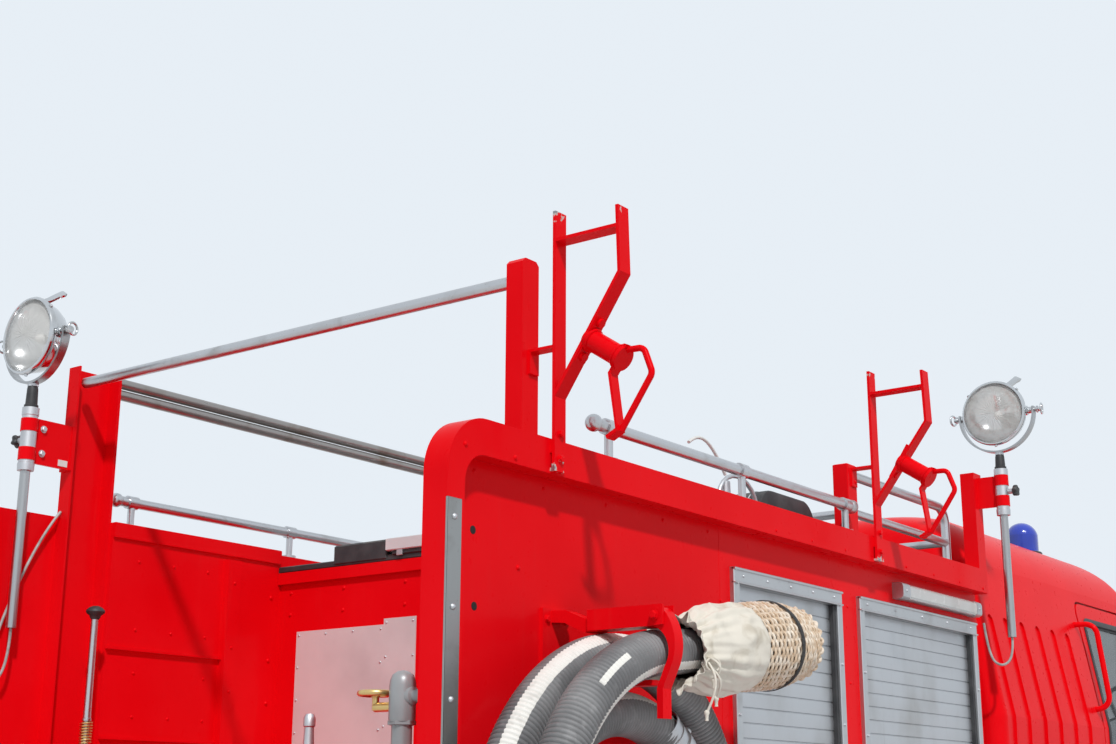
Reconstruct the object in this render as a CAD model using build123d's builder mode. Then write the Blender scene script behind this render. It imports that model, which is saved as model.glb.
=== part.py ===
# Fire truck on a forward-control two-axle chassis, with an open rear recess over the pump,
# a roof deck with hand rails, ladder brackets, two pole searchlights and suction hoses on the right side.
# Units are millimetres. X is the truck's left, the front faces -Y, Z is up, and the ground is Z = 0.
from build123d import *
import math
import os

os.makedirs("parts", exist_ok=True)

# Overall places along Y
cab_front_y = -3000
cab_rear_y = -560
body_front_y = -490
body_rear_y = 2970
front_axle_y = -2014
wheelbase = 3150
rear_axle_y = front_axle_y + wheelbase
bumper_front_y = -3085
rail_front_y = -2900
rail_rear_y = 2880

# Wheels and axles
tyre_radius = 450
tyre_width = 230
rim_radius = 247
axle_z = tyre_radius
front_track_x = 920
rear_outer_x = 925
dual_spacing = 272
kingpin_x = 745
kingpin_radius = 22
spindle_radius = 38
running_gap = 0.08
steer_arm_length = 170
steer_arm_x = kingpin_x

# Chassis
rail_x = 390
rail_height = 200
rail_flange = 70
rail_wall = 8
rail_top_z = 860
rail_bottom_z = rail_top_z - rail_height
spring_width = 76
spring_leaf = 12

# Cab
cab_half_width = 1095
cab_drip_half_width = 978
cab_bow = 60
cab_skirt_z = 640
headlamp_x = 790
headlamp_y = -2955
headlamp_z = 850
headlamp_radius = 98
cab_waist_z = 1900
cab_drip_z = 2555
cab_roof_z = 2830
cab_wall = 45
cab_floor_z = 1050
cab_floor_thickness = 40
screen_foot_z = 1760
screen_top_y = -2870
cab_corner_radius = 230
arch_radius = 560
arch_skin = 6
arch_lip = 3
door_front_y = -2775
door_rear_y = -1830
door_foot_z = 1065
door_top_z = 2500
door_gap = 10
door_skin = 15
door_step = 14
glass_thickness = 6

# Body
flange_x = 1100
panel_x = 1042
wall_thickness = 24
body_inner_x = panel_x - wall_thickness
skirt_z = 520
roof_edge_z = 2486
flange_height = 97
rear_border = 66
border_outer_radius = 150
border_inner_radius = 80
deck_z = 2415
deck_thickness = 40
floor_z = 1000
floor_thickness = 40
bulkhead_y = 1572
bulkhead_thickness = 30
recess_floor_z = 1250
liner_x = 942
post_channel_front_y = 2385
rear_arch_radius = 510

# Roller shutters: rear edge, front edge and foot of each, along Y
shutter_header_z = 2266
shutter_frame = 36
shutter_header = 52
shutter_frame_depth = 16
shutter_recess = wall_thickness
slat_pitch = 48
slat_thickness = 11
shutter_rows = [  # rear_y, front_y, foot_z
    (1511, 761, 1130),
    (620, -555 + 110, 610),
]

# Roof tubes
tube_radius = 18.5
rail_tube_x = 1050
guard_x = 972
guard_front_y = -388
rail_tube_z = 2590
fitting_radius = 26
bar_y = 2540
bar_z = 2962
post_width = 59
post_top_z = 3020

# Ladder brackets
bracket_rows = [  # centre_y, top_z
    (2523, 3143),
    (552, 3110),
]
flat_thickness = 10
flat_width = 50
bracket_foot_z = 2395
bracket_outer_x = 1325

# Searchlights
lamp_radius = 138
pole_radius = 17
clamp_radius = 29

lamp_rows = [  # name, pole_x, pole_y, foot_z, clamp_z, lamp_z
    ("rear", 968, 2749, 2084, 2789, 3080),
    ("front", -1205, -452, 2200, 2858, 3132),
]

# Suction hose
hose_radius = 60
hose_outer_x = 1345
hose_inner_x = 1185
coil_y = 2340
coil_top_z = 1910


def slab(x0, x1, y0, y1, z0, z1, mode=Mode.ADD):
    """A block between two corners, added to the part being built."""
    with Locations(((x0 + x1) / 2, (y0 + y1) / 2, (z0 + z1) / 2)):
        Box(abs(x1 - x0), abs(y1 - y0), abs(z1 - z0), mode=mode)


def rod(start, end, radius, mode=Mode.ADD):
    """A round bar between two points, added to the part being built."""
    way = Vector(*end) - Vector(*start)
    with Locations(Plane(origin=start, z_dir=way).location):
        Cylinder(radius, way.length, align=(Align.CENTER, Align.CENTER, Align.MIN), mode=mode)


def cap_arc(rim, rise):
    """An arc from a rim point to the axis that ends square to it: the half section of a dome."""
    radius = (rim[0] ** 2 + rise**2) / (2 * abs(rise))
    half = math.atan2(rim[0], radius - abs(rise)) / 2
    way = math.copysign(1, rise)
    centre = rim[1] + rise - way * radius
    ThreePointArc(rim, (radius * math.sin(half), centre + way * radius * math.cos(half)), (0, rim[1] + rise))


def finish(part, label):
    """Labels one piece and writes its file."""
    part.label = label
    export_step(part, f"parts/{label}.step")


# Chassis frame: two channel rails and their cross members
with BuildPart() as chassis_frame:
    for side in (-1, 1):
        with BuildSketch(Plane.XZ.offset(-rail_rear_y)):
            with BuildLine():
                outer_x = side * (rail_x + rail_flange / 2)
                inner_x = side * (rail_x - rail_flange / 2)
                web_x = outer_x - side * rail_wall
                Polyline(
                    (outer_x, rail_bottom_z),
                    (inner_x, rail_bottom_z),
                    (inner_x, rail_bottom_z + rail_wall),
                    (web_x, rail_bottom_z + rail_wall),
                    (web_x, rail_top_z - rail_wall),
                    (inner_x, rail_top_z - rail_wall),
                    (inner_x, rail_top_z),
                    (outer_x, rail_top_z),
                    close=True,
                )
            make_face()
        extrude(amount=rail_rear_y - rail_front_y)
    web_inner_x = rail_x + rail_flange / 2 - rail_wall
    for cross_y in (-2860, -1040, -300, 700, 1700, 2850):
        slab(-web_inner_x, web_inner_x, cross_y - 25, cross_y + 25, rail_bottom_z + 30, rail_top_z - 30)
    for mount_y in (-2720, -700):
        for side in (-1, 1):
            slab(side * rail_x - 32, side * rail_x + 32, mount_y - 60, mount_y + 60, rail_top_z, cab_floor_z)
finish(chassis_frame.part, "chassis_frame")

# Powertrain: engine as one plain block under the cab floor, gearbox, and shaft to the rear axle
with BuildPart() as powertrain:
    slab(-300, 300, -2600, -1650, 500, 990)
    chamfer(powertrain.edges().filter_by(Axis.Y), 60)
    slab(-150, 150, -1650, -1130, 470, 800)
    rod((0, -1130, 600), (0, -1090, 600), 70)
    rod((0, -1092, 600), (0, rear_axle_y - 350, 500), 45)
    rod((0, rear_axle_y - 360, 500), (0, rear_axle_y - 330, 500), 70)
finish(powertrain.part, "powertrain")

# Rear axle: banjo housing with a spindle at each end
hub_face_x = 540
with BuildPart() as rear_axle:
    with BuildSketch(Plane.XY):
        with BuildLine():
            Polyline(
                (0, 0),
                (0, 190),
                (60, 190),
                (150, 120),
                (210, 75),
                (hub_face_x, 65),
                (hub_face_x, spindle_radius),
                (rear_outer_x, spindle_radius),
                (rear_outer_x, 0),
                close=True,
            )
        make_face()
        mirror(about=Plane.YZ)
    revolve(axis=Axis.X)
rear_axle_part = rear_axle.part.moved(Location((0, rear_axle_y, axle_z)))
with BuildPart() as rear_axle_dressed:
    add(rear_axle_part)
    rod((0, rear_axle_y - 100, 500), (0, rear_axle_y - 330, 500), 70)
    for side in (-1, 1):
        slab(side * 345, side * 435, rear_axle_y - 60, rear_axle_y + 60, axle_z, axle_z + 80)
finish(rear_axle_dressed.part, "rear_axle")

# Front axle: dropped beam with an eye for each kingpin
eye_radius = 44
eye_half_height = 58
with BuildPart() as front_axle:
    with BuildSketch(Plane.XZ.offset(-(front_axle_y + 35))):
        with BuildLine():
            Polyline(
                (-kingpin_x, axle_z - 45),
                (-600, axle_z - 45),
                (-480, axle_z - 110),
                (480, axle_z - 110),
                (600, axle_z - 45),
                (kingpin_x, axle_z - 45),
                (kingpin_x, axle_z + 45),
                (600, axle_z + 45),
                (480, axle_z - 10),
                (-480, axle_z - 10),
                (-600, axle_z + 45),
                (-kingpin_x, axle_z + 45),
                close=True,
            )
        make_face()
    extrude(amount=70)
    for side in (-1, 1):
        with Locations((side * kingpin_x, front_axle_y, axle_z)):
            Cylinder(eye_radius, 2 * eye_half_height)
            Cylinder(kingpin_radius + running_gap, 2 * eye_half_height + 10, mode=Mode.SUBTRACT)
        slab(side * 345, side * 435, front_axle_y - 60, front_axle_y + 60, axle_z - 20, axle_z + 50)
finish(front_axle.part, "front_axle")

# Leaf springs: x, axle y, pad height, half length of the main leaf
spring_rows = [
    (rail_x, front_axle_y, axle_z + 50, 620),
    (rail_x, rear_axle_y, axle_z + 80, 680),
]
leaf_count = 6
hanger_height = 90
with BuildPart() as leaf_springs:
    for spring_x, spring_y, pad_z, half_length in spring_rows:
        rise = rail_bottom_z - 20 - pad_z - leaf_count * spring_leaf
        curve_radius = (half_length**2 + rise**2) / (2 * rise)
        for side in (-1, 1):
            for leaf in range(leaf_count):
                half = half_length * (leaf + 2) / (leaf_count + 1)
                inner_radius = curve_radius - leaf * spring_leaf
                angle = math.asin(half / curve_radius)
                centre_z = pad_z + curve_radius
                with BuildSketch(Plane.YZ.offset(side * spring_x - spring_width / 2)):
                    with BuildLine():
                        low_left = (spring_y - inner_radius * math.sin(angle), centre_z - inner_radius * math.cos(angle))
                        low_right = (spring_y + inner_radius * math.sin(angle), low_left[1])
                        top_radius = inner_radius - spring_leaf
                        top_left = (spring_y - top_radius * math.sin(angle), centre_z - top_radius * math.cos(angle))
                        top_right = (spring_y + top_radius * math.sin(angle), top_left[1])
                        ThreePointArc(low_left, (spring_y, centre_z - inner_radius), low_right)
                        Line(low_right, top_right)
                        ThreePointArc(top_right, (spring_y, centre_z - top_radius), top_left)
                        Line(top_left, low_left)
                    make_face()
                extrude(amount=spring_width)
            for end in (-1, 1):
                eye_y = spring_y + end * (half_length - 12)
                slab(
                    side * spring_x - spring_width / 2,
                    side * spring_x + spring_width / 2,
                    eye_y - 22,
                    eye_y + 22,
                    pad_z + rise * 0.86 + 20,
                    rail_bottom_z - 0.3,
                )
finish(leaf_springs.part, "leaf_springs")

# Steering knuckles, each with a kingpin, a spindle and a steering arm
fork_z = eye_half_height + 2
fork_height = 34
hub_inner_x = 812
for side, name in ((1, "knuckle_left"), (-1, "knuckle_right")):
    with BuildPart() as knuckle:
        for level in (-1, 1):
            middle_z = axle_z + level * (fork_z + fork_height / 2)
            with Locations((side * kingpin_x, front_axle_y, middle_z)):
                Cylinder(eye_radius, fork_height)
            slab(
                side * kingpin_x,
                side * (hub_inner_x - 6),
                front_axle_y - eye_radius,
                front_axle_y + eye_radius,
                middle_z - fork_height / 2,
                middle_z + fork_height / 2,
            )
        with Locations((side * kingpin_x, front_axle_y, axle_z)):
            Cylinder(kingpin_radius, 2 * (fork_z + fork_height))
        slab(
            side * (kingpin_x + eye_radius + 5),
            side * (hub_inner_x - 6),
            front_axle_y - eye_radius,
            front_axle_y + eye_radius,
            axle_z - fork_z - fork_height,
            axle_z + fork_z + fork_height,
        )
        rod((side * (hub_inner_x - 10), front_axle_y, axle_z), (side * front_track_x, front_axle_y, axle_z), spindle_radius)
        arm_z = axle_z - fork_z - fork_height / 2
        slab(
            side * (steer_arm_x - 18),
            side * (steer_arm_x + 18),
            front_axle_y + 20,
            front_axle_y + steer_arm_length + 20,
            arm_z - 12,
            arm_z + 12,
        )
        rod(
            (side * steer_arm_x, front_axle_y + steer_arm_length, arm_z),
            (side * steer_arm_x, front_axle_y + steer_arm_length, arm_z + 50),
            11,
        )
    finish(knuckle.part, name)

# Tie rod between the two steering arms
tie_z = axle_z - fork_z - fork_height / 2 + 32
with BuildPart() as tie_rod:
    rod((-steer_arm_x, front_axle_y + steer_arm_length, tie_z), (steer_arm_x, front_axle_y + steer_arm_length, tie_z), 15)
    for side in (-1, 1):
        with Locations((side * steer_arm_x, front_axle_y + steer_arm_length, tie_z)):
            Cylinder(24, 34)
            Cylinder(11 + running_gap, 60, mode=Mode.SUBTRACT)
finish(tie_rod.part, "tie_rod")


def tyre_solid(centre_x):
    """One tyre ring about the X axis, centred at centre_x."""
    half = tyre_width / 2
    with BuildPart() as tyre:
        with BuildSketch(Plane.XY):
            with BuildLine():
                Polyline(
                    (centre_x - half + 22, rim_radius + 6),
                    (centre_x + half - 22, rim_radius + 6),
                    (centre_x + half - 6, rim_radius + 40),
                    (centre_x + half, rim_radius + 105),
                    (centre_x + half - 8, tyre_radius - 40),
                    (centre_x + half - 20, tyre_radius - 8),
                    (centre_x + half - 45, tyre_radius),
                    (centre_x - half + 45, tyre_radius),
                    (centre_x - half + 20, tyre_radius - 8),
                    (centre_x - half + 8, tyre_radius - 40),
                    (centre_x - half, rim_radius + 105),
                    (centre_x - half + 6, rim_radius + 40),
                    close=True,
                )
            make_face()
        revolve(axis=Axis.X)
    return tyre.part


def rim_profile(side, face, well_x):
    """One steel wheel: rim well, flanges, and a disc from its face at the studs to the well."""
    half = tyre_width / 2
    with BuildSketch(Plane.XY) as well:
        with BuildLine():
            Polyline(
                (-half + 14, rim_radius + 5),
                (-half + 14, rim_radius + 22),
                (-half + 4, rim_radius + 22),
                (-half + 4, rim_radius - 8),
                (-40, rim_radius - 22),
                (40, rim_radius - 22),
                (half - 4, rim_radius - 8),
                (half - 4, rim_radius + 22),
                (half - 14, rim_radius + 22),
                (half - 14, rim_radius + 5),
                close=True,
            )
        make_face()
    revolve(well.sketch, axis=Axis.X)
    with BuildSketch(Plane.XY) as disc:
        with BuildLine():
            Polyline(
                (side * face, 70),
                (side * face, 172),
                (side * well_x, rim_radius - 8),
                (side * (well_x - 14), rim_radius - 8),
                (side * (face - 14), 172),
                (side * (face - 14), 70),
                close=True,
            )
        make_face()
    revolve(disc.sketch, axis=Axis.X)


hand_holes = 8
hand_hole_circle = 199
stud_count = 8
stud_circle = 137.5
# Front wheels: rim with hub, and tyre
for side, end in ((1, "left"), (-1, "right")):
    with BuildPart() as front_rim:
        rim_profile(side, 78, 30)
        with BuildSketch(Plane.XY):
            with BuildLine():
                Polyline(
                    (side * (hub_inner_x - front_track_x), spindle_radius + running_gap),
                    (side * (hub_inner_x - front_track_x), 165),
                    (side * -20, 165),
                    (side * -20, 92),
                    (side * 66, 92),
                    (side * 66, 70),
                    (side * 120, 62),
                    (side * 128, 45),
                    (side * 128, 0),
                    (side * 20, 0),
                    (side * 20, spindle_radius + running_gap),
                    close=True,
                )
            make_face()
        revolve(axis=Axis.X)
        with BuildSketch(Plane.YZ.offset(side * 78)):
            with PolarLocations(stud_circle, stud_count):
                RegularPolygon(16, 6)
        extrude(amount=side * 22)
        with BuildSketch(Plane.YZ.offset(-150)):
            with PolarLocations(hand_hole_circle, hand_holes):
                Circle(19)
        extrude(amount=300, mode=Mode.SUBTRACT)
        hub_reach = abs(hub_inner_x - front_track_x)
        rod((side * -hub_reach, 0, 0), (side * 19, 0, 0), spindle_radius + running_gap, mode=Mode.SUBTRACT)
    spot = Location((side * front_track_x, front_axle_y, axle_z))
    finish(front_rim.part.moved(spot), f"rim_front_{end}")
    finish(tyre_solid(0).moved(spot), f"tyre_front_{end}")

# Rear wheels: two rims back to back on one hub, and two tyres
for side, end in ((1, "left"), (-1, "right")):
    with BuildPart() as outer_rim:
        rim_profile(side, -122, -70)
    with BuildPart() as inner_rim:
        rim_profile(-side, -122, -70)
    with BuildPart() as rear_rims:
        add(outer_rim.part)
        add(inner_rim.part.moved(Location((-side * dual_spacing, 0, 0))))
        with BuildSketch(Plane.XY):
            with BuildLine():
                Polyline(
                    (side * (hub_face_x + 8 - rear_outer_x), spindle_radius + running_gap),
                    (side * (hub_face_x + 8 - rear_outer_x), 185),
                    (side * -165, 185),
                    (side * -165, 160),
                    (side * -149, 160),
                    (side * -149, 100),
                    (side * -60, 95),
                    (side * 40, 75),
                    (side * 48, 60),
                    (side * 48, 0),
                    (side * 20, 0),
                    (side * 20, spindle_radius + running_gap),
                    close=True,
                )
            make_face()
        revolve(axis=Axis.X)
        with BuildSketch(Plane.YZ.offset(side * -122)):
            with PolarLocations(stud_circle, stud_count):
                RegularPolygon(16, 6)
        extrude(amount=side * 24)
        with BuildSketch(Plane.YZ.offset(-500)):
            with PolarLocations(hand_hole_circle, hand_holes):
                Circle(19)
        extrude(amount=1000, mode=Mode.SUBTRACT)
    spot = Location((side * rear_outer_x, rear_axle_y, axle_z))
    finish(rear_rims.part.moved(spot), f"rims_rear_{end}")
    with BuildPart() as rear_tyres:
        add(tyre_solid(0))
        add(tyre_solid(-side * dual_spacing))
    finish(rear_tyres.part.moved(spot), f"tyres_rear_{end}")


def cab_section(height, half_x, front_y, inset):
    """Plan of the cab at one height, set in from the skin by inset: bowed front, rounded corners."""
    half_x = half_x - inset
    front_y = front_y + inset
    rear_y = cab_rear_y - inset
    with BuildSketch(Plane.XY.offset(height)) as plan:
        with BuildLine():
            Line((-half_x, rear_y), (half_x, rear_y))
            Line((half_x, rear_y), (half_x, front_y + cab_bow))
            ThreePointArc((half_x, front_y + cab_bow), (0, front_y), (-half_x, front_y + cab_bow))
            Line((-half_x, front_y + cab_bow), (-half_x, rear_y))
        make_face()
        front_corners = plan.vertices().sort_by(Axis.Y)[0:2]
        fillet(front_corners, cab_corner_radius - inset)
        rear_corners = plan.vertices().sort_by(Axis.Y)[-2:]
        fillet(rear_corners, 70 - min(inset, 50))
    return plan.sketch


def cab_block(inset, mode=Mode.ADD):
    """The cab filled solid, set in from the skin by inset, added to the part being built."""
    skirt = cab_section(cab_skirt_z, cab_half_width - 12, cab_front_y + 15, inset)
    waist = cab_section(cab_waist_z, cab_half_width, cab_front_y, inset)
    drip = cab_section(cab_drip_z, cab_drip_half_width, screen_top_y, inset)
    loft([skirt, waist, drip], ruled=True, mode=mode)


def cab_layer(outer, inner, low_z, high_z):
    """The shell of the cab between two insets, cut off at two heights."""
    with BuildPart() as layer:
        cab_block(outer)
        cab_block(inner, Mode.SUBTRACT)
        split(bisect_by=Plane.XY.offset(low_z), keep=Keep.TOP)
        split(bisect_by=Plane.XY.offset(high_z), keep=Keep.BOTTOM)
    return layer.part


def tube_run(points, radius, bend):
    """A bent tube along straight runs with rounded corners, added to the part being built."""
    with BuildLine() as route:
        FilletPolyline(*points, radius=bend)
    with BuildSketch(Plane(origin=route.line @ 0, z_dir=route.line % 0)) as cross_cut:
        Circle(radius)
    sweep(cross_cut.sketch, path=route.line)


def side_outline(front_y, rear_y, foot_z, top_z, lean, rear_lean, radius):
    """A door or window shape on the plane X = 0: its upright edges lean in above the waist."""
    with BuildSketch(Plane.YZ) as shape:
        with BuildLine():
            Polyline(
                (front_y, foot_z),
                (front_y, cab_waist_z),
                (front_y + lean, top_z),
                (rear_y - rear_lean, top_z),
                (rear_y, cab_waist_z),
                (rear_y, foot_z),
                close=True,
            )
        make_face()
        fillet(shape.vertices().group_by(Axis.X)[0].sort_by(Axis.Y)[0], radius)
        top_corners = shape.vertices().sort_by(Axis.Y)[-2:]
        fillet(top_corners, radius)
    return shape.sketch


channel_rows = (-1620, -1430, -1240, -1050, -860, -690)
channel_depth = 9
channel_width = 62
channel_low_z = 1130
channel_high_z = 2330
handle_y = -1772
handle_low_z = 1985
handle_high_z = 2385
# Cab shell: skin, floor, pillars and wheel arches, with the door, window and windscreen openings cut
cab_reach = cab_half_width + 50
door_outline = side_outline(door_front_y, door_rear_y, door_foot_z, door_top_z, 115, 24, 60)
opening_outline = side_outline(
    door_front_y - door_gap, door_rear_y + door_gap, door_foot_z - door_gap, door_top_z + door_gap, 115, 12, 68
)
window_outline = side_outline(door_front_y + 75, door_rear_y - 75, 1775, door_top_z - 85, 95, 20, 45)
door_inner_outline = side_outline(
    door_front_y + door_step, door_rear_y - door_step, door_foot_z + door_step, door_top_z - door_step, 113, 24, 48
)
with BuildPart() as cab_shell:
    add(cab_layer(0, cab_wall, cab_skirt_z, cab_drip_z))
    with BuildSketch(Plane.XZ.offset(-cab_front_y - 400)):
        with Locations((0, (screen_foot_z + door_top_z) / 2)):
            RectangleRounded(2 * (cab_drip_half_width - 110), door_top_z - screen_foot_z, 90)
    extrude(amount=500, mode=Mode.SUBTRACT)
    for side in (-1, 1):
        jamb = opening_outline.moved(Location((side * (cab_drip_half_width - 100), 0, 0)))
        extrude(jamb, amount=side * 300, mode=Mode.SUBTRACT)
    floor_plan = cab_section(cab_floor_z, cab_half_width - 8, cab_front_y + 5, cab_wall - 3)
    extrude(floor_plan, amount=cab_floor_thickness)
    with Locations(Location((0, front_axle_y, axle_z), (0, 90, 0))):
        Cylinder(arch_radius, 2 * cab_reach, mode=Mode.SUBTRACT)
    for side in (-1, 1):
        with Locations(Location((side * headlamp_x, headlamp_y, headlamp_z), (90, 0, 0))):
            Cylinder(headlamp_radius, 400, mode=Mode.SUBTRACT)
    slab(-rail_x - 60, rail_x + 60, cab_front_y + 100, cab_rear_y + 10, 0, cab_floor_z - 20, mode=Mode.SUBTRACT)
    for side in (-1, 1):
        with BuildSketch(Plane.YZ.offset(side * (rail_x + 60))):
            with Locations((front_axle_y, axle_z)):
                Circle(arch_radius + arch_skin)
                Circle(arch_radius - arch_lip, mode=Mode.SUBTRACT)
                with Locations((0, -arch_radius / 2 - 40)):
                    Rectangle(2 * arch_radius + 20, arch_radius + 130, mode=Mode.SUBTRACT)
        extrude(amount=side * (cab_half_width - cab_wall / 2 - rail_x - 60))
    # pressed channels behind the doors
    with BuildPart(mode=Mode.PRIVATE) as channels:
        add(cab_layer(-5, channel_depth, cab_skirt_z + 80, cab_drip_z - 60))
        with BuildSketch(Plane.YZ) as channel_shapes:
            for channel_y in channel_rows:
                with Locations((channel_y, (channel_low_z + channel_high_z) / 2)):
                    SlotOverall(channel_high_z - channel_low_z, channel_width, rotation=90)
        extrude(channel_shapes.sketch, amount=cab_reach, both=True, mode=Mode.INTERSECT)
    add(channels.part, mode=Mode.SUBTRACT)
finish(cab_shell.part, "cab_shell")

hinge_x = cab_half_width + 8
hinge_y = door_front_y - 9
hinge_rows = (1240, 1660)
hinge_barrel = 30
hinge_radius = 11
hinge_pin = 5


def hinge_leaf(side, leaf_y, low_z, high_z, bore):
    """One leaf of a door hinge with its barrel on the hinge line."""
    slab(side * (cab_half_width - 45), side * hinge_x, hinge_y, leaf_y, low_z, high_z)
    with Locations((side * hinge_x, hinge_y, (low_z + high_z) / 2)):
        Cylinder(hinge_radius, high_z - low_z)
        Cylinder(bore, high_z - low_z + 2, mode=Mode.SUBTRACT)


# Grab handles behind the doors and the fixed leaves and pins of the door hinges, cut flush with the skin
with BuildPart() as cab_handles:
    for side in (-1, 1):
        tube_run(
            [
                (side * (cab_drip_half_width - 10), handle_y, handle_high_z),
                (side * (cab_half_width + 10), handle_y - 14, handle_high_z),
                (side * (cab_half_width + 54), handle_y - 14, handle_low_z),
                (side * (cab_half_width - 60), handle_y, handle_low_z),
            ],
            13,
            55,
        )
        for hinge_z in hinge_rows:
            for low_z in (hinge_z - 2 * hinge_barrel - 1, hinge_z + hinge_barrel + 1):
                hinge_leaf(side, hinge_y - 14, low_z, low_z + hinge_barrel, hinge_pin - 1)
            with Locations((side * hinge_x, hinge_y, hinge_z)):
                Cylinder(hinge_pin, 4 * hinge_barrel)
    cab_block(0, Mode.SUBTRACT)
finish(cab_handles.part, "cab_handles_and_hinges")

# Doors: the same skin within the door outline, with the window cut
for side, name in ((1, "left"), (-1, "right")):
    with BuildPart() as door:
        add(cab_layer(door_skin, cab_wall - 5, door_foot_z - 5, door_top_z + 5))
        extrude(door_inner_outline, amount=side * cab_reach, mode=Mode.INTERSECT)
        with BuildPart(mode=Mode.PRIVATE) as skin:
            add(cab_layer(0, door_skin, door_foot_z - 5, door_top_z + 5))
            extrude(door_outline, amount=side * cab_reach, mode=Mode.INTERSECT)
        add(skin.part)
        extrude(window_outline, amount=side * cab_reach, mode=Mode.SUBTRACT)
        for hinge_z in hinge_rows:
            hinge_leaf(side, hinge_y + 22, hinge_z - hinge_barrel, hinge_z + hinge_barrel, hinge_pin + running_gap)
        with Locations((side * (cab_half_width + 22), door_rear_y - 95, 1560)):
            Box(14, 130, 26)
        for end in (-52, 52):
            slab(
                side * (cab_half_width - 10),
                side * (cab_half_width + 20),
                door_rear_y - 95 + end - 8,
                door_rear_y - 95 + end + 8,
                1552,
                1568,
            )
    finish(door.part, f"door_{name}")
    with BuildPart() as door_glass:
        add(cab_layer(14, 14 + glass_thickness, 1700, door_top_z))
        extrude(window_outline, amount=side * cab_reach, mode=Mode.INTERSECT)
    finish(door_glass.part, f"glass_door_{name}")

# Windscreen glass in its opening
with BuildPart() as windscreen:
    add(cab_layer(14, 14 + glass_thickness, screen_foot_z - 10, door_top_z + 10))
    with BuildSketch(Plane.XZ.offset(-cab_front_y - 400)):
        with Locations((0, (screen_foot_z + door_top_z) / 2)):
            RectangleRounded(2 * (cab_drip_half_width - 110), door_top_z - screen_foot_z, 90)
    extrude(amount=500, mode=Mode.INTERSECT)
finish(windscreen.part, "windscreen")

# Cab roof: a domed skin on the drip line, open below
roof_skin = 30
roof_sections = [  # height, half_x, front_y, rear_y, corner radius
    (cab_drip_z, cab_drip_half_width, screen_top_y, cab_rear_y, 200),
    (2680, 915, -2800, -600, 200),
    (2780, 780, -2640, -700, 200),
    (cab_roof_z, 500, -2350, -950, 200),
]
with BuildPart() as cab_roof:
    for inset, mode in ((0, Mode.ADD), (roof_skin, Mode.SUBTRACT)):
        plans = []
        for height, half_x, front_y, rear_y, radius in roof_sections:
            with BuildSketch(Plane.XY.offset(height - inset)) as roof_plan:
                with Locations((0, (front_y + rear_y) / 2)):
                    RectangleRounded(2 * (half_x - inset), rear_y - front_y - 2 * inset, radius - inset)
            plans.append(roof_plan.sketch)
        roof_solid = loft(plans, mode=mode)
        if inset == 0:
            roof_outside = roof_solid
finish(cab_roof.part, "cab_roof")

# Seats, bench, dashboard and steering wheel
seat_x = 560
with BuildPart() as seats:
    for side in (-1, 1):
        slab(side * seat_x - 230, side * seat_x + 230, -2150, -1690, 1380, 1500)
        slab(side * seat_x - 190, side * seat_x + 190, -2110, -1730, cab_floor_z + cab_floor_thickness, 1380)
        slab(side * seat_x - 220, side * seat_x + 220, -1760, -1640, 1440, 2060)
    slab(-880, 880, -1120, -660, 1380, 1500)
    slab(-840, 840, -1080, -700, cab_floor_z + cab_floor_thickness, 1380)
    slab(-860, 860, -730, -cab_wall + cab_rear_y - 5, 1440, 2060)
finish(seats.part, "seats")
with BuildPart() as dashboard:
    with BuildSketch(Plane.YZ.offset(-930)):
        with BuildLine():
            Polyline((-2820, 1420), (-2640, 1420), (-2520, 1560), (-2540, 1700), (-2840, 1700), close=True)
        make_face()
    extrude(amount=1860)
    slab(-900, 900, -2830, -2760, cab_floor_z + cab_floor_thickness, 1430)
    wheel_centre = (seat_x, -2330, 1760)
    with Locations(Location(wheel_centre, (-35, 0, 0))):
        Torus(215, 16)
        Cylinder(45, 30)
        with PolarLocations(110, 3):
            Box(220, 28, 12)
    rod((seat_x, -2330, 1760), (seat_x, -2620, 1500), 28)
finish(dashboard.part, "dashboard")

# Front face: bumper, grille and headlamps
with BuildPart() as front_bumper:
    with BuildSketch(Plane.XY.offset(430)):
        with BuildLine():
            Line((-1090, -2700), (-1090, -2960))
            ThreePointArc((-1090, -2960), (0, bumper_front_y), (1090, -2960))
            Line((1090, -2960), (1090, -2700))
            Line((1090, -2700), (1035, -2700))
            Line((1035, -2700), (1035, -2930))
            ThreePointArc((1035, -2930), (0, bumper_front_y + 60), (-1035, -2930))
            Line((-1035, -2930), (-1035, -2700))
            Line((-1035, -2700), (-1090, -2700))
        make_face()
    extrude(amount=205)
    for side in (-1, 1):
        slab(side * rail_x - 35, side * rail_x + 35, bumper_front_y + 40, rail_front_y, 500, 632)
        slab(side * rail_x - 35, side * rail_x + 35, rail_front_y - 25, rail_front_y, 500, rail_top_z - 20)
finish(front_bumper.part, "front_bumper")
grille_z = 1180
grille_width = 1120
grille_height = 380
grille_rows = 7
grille_pitch = 48
with BuildPart() as grille:
    add(cab_layer(-24, 0, grille_z - grille_height / 2, grille_z + grille_height / 2))
    slab(-grille_width / 2, grille_width / 2, -4000, -2900, 0, 3000, mode=Mode.INTERSECT)
    for row in range(grille_rows):
        slot_z = grille_z + grille_pitch * (row - (grille_rows - 1) / 2)
        slab(-grille_width / 2 + 40, grille_width / 2 - 40, -4000, cab_front_y - 3, slot_z - 13, slot_z + 13, mode=Mode.SUBTRACT)
finish(grille.part, "grille")
with BuildPart() as headlamps:
    for side in (-1, 1):
        with Locations(Location((side * headlamp_x, headlamp_y, headlamp_z), (90, 0, 0))):
            Cylinder(headlamp_radius, 90)
finish(headlamps.part, "headlamps")


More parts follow.
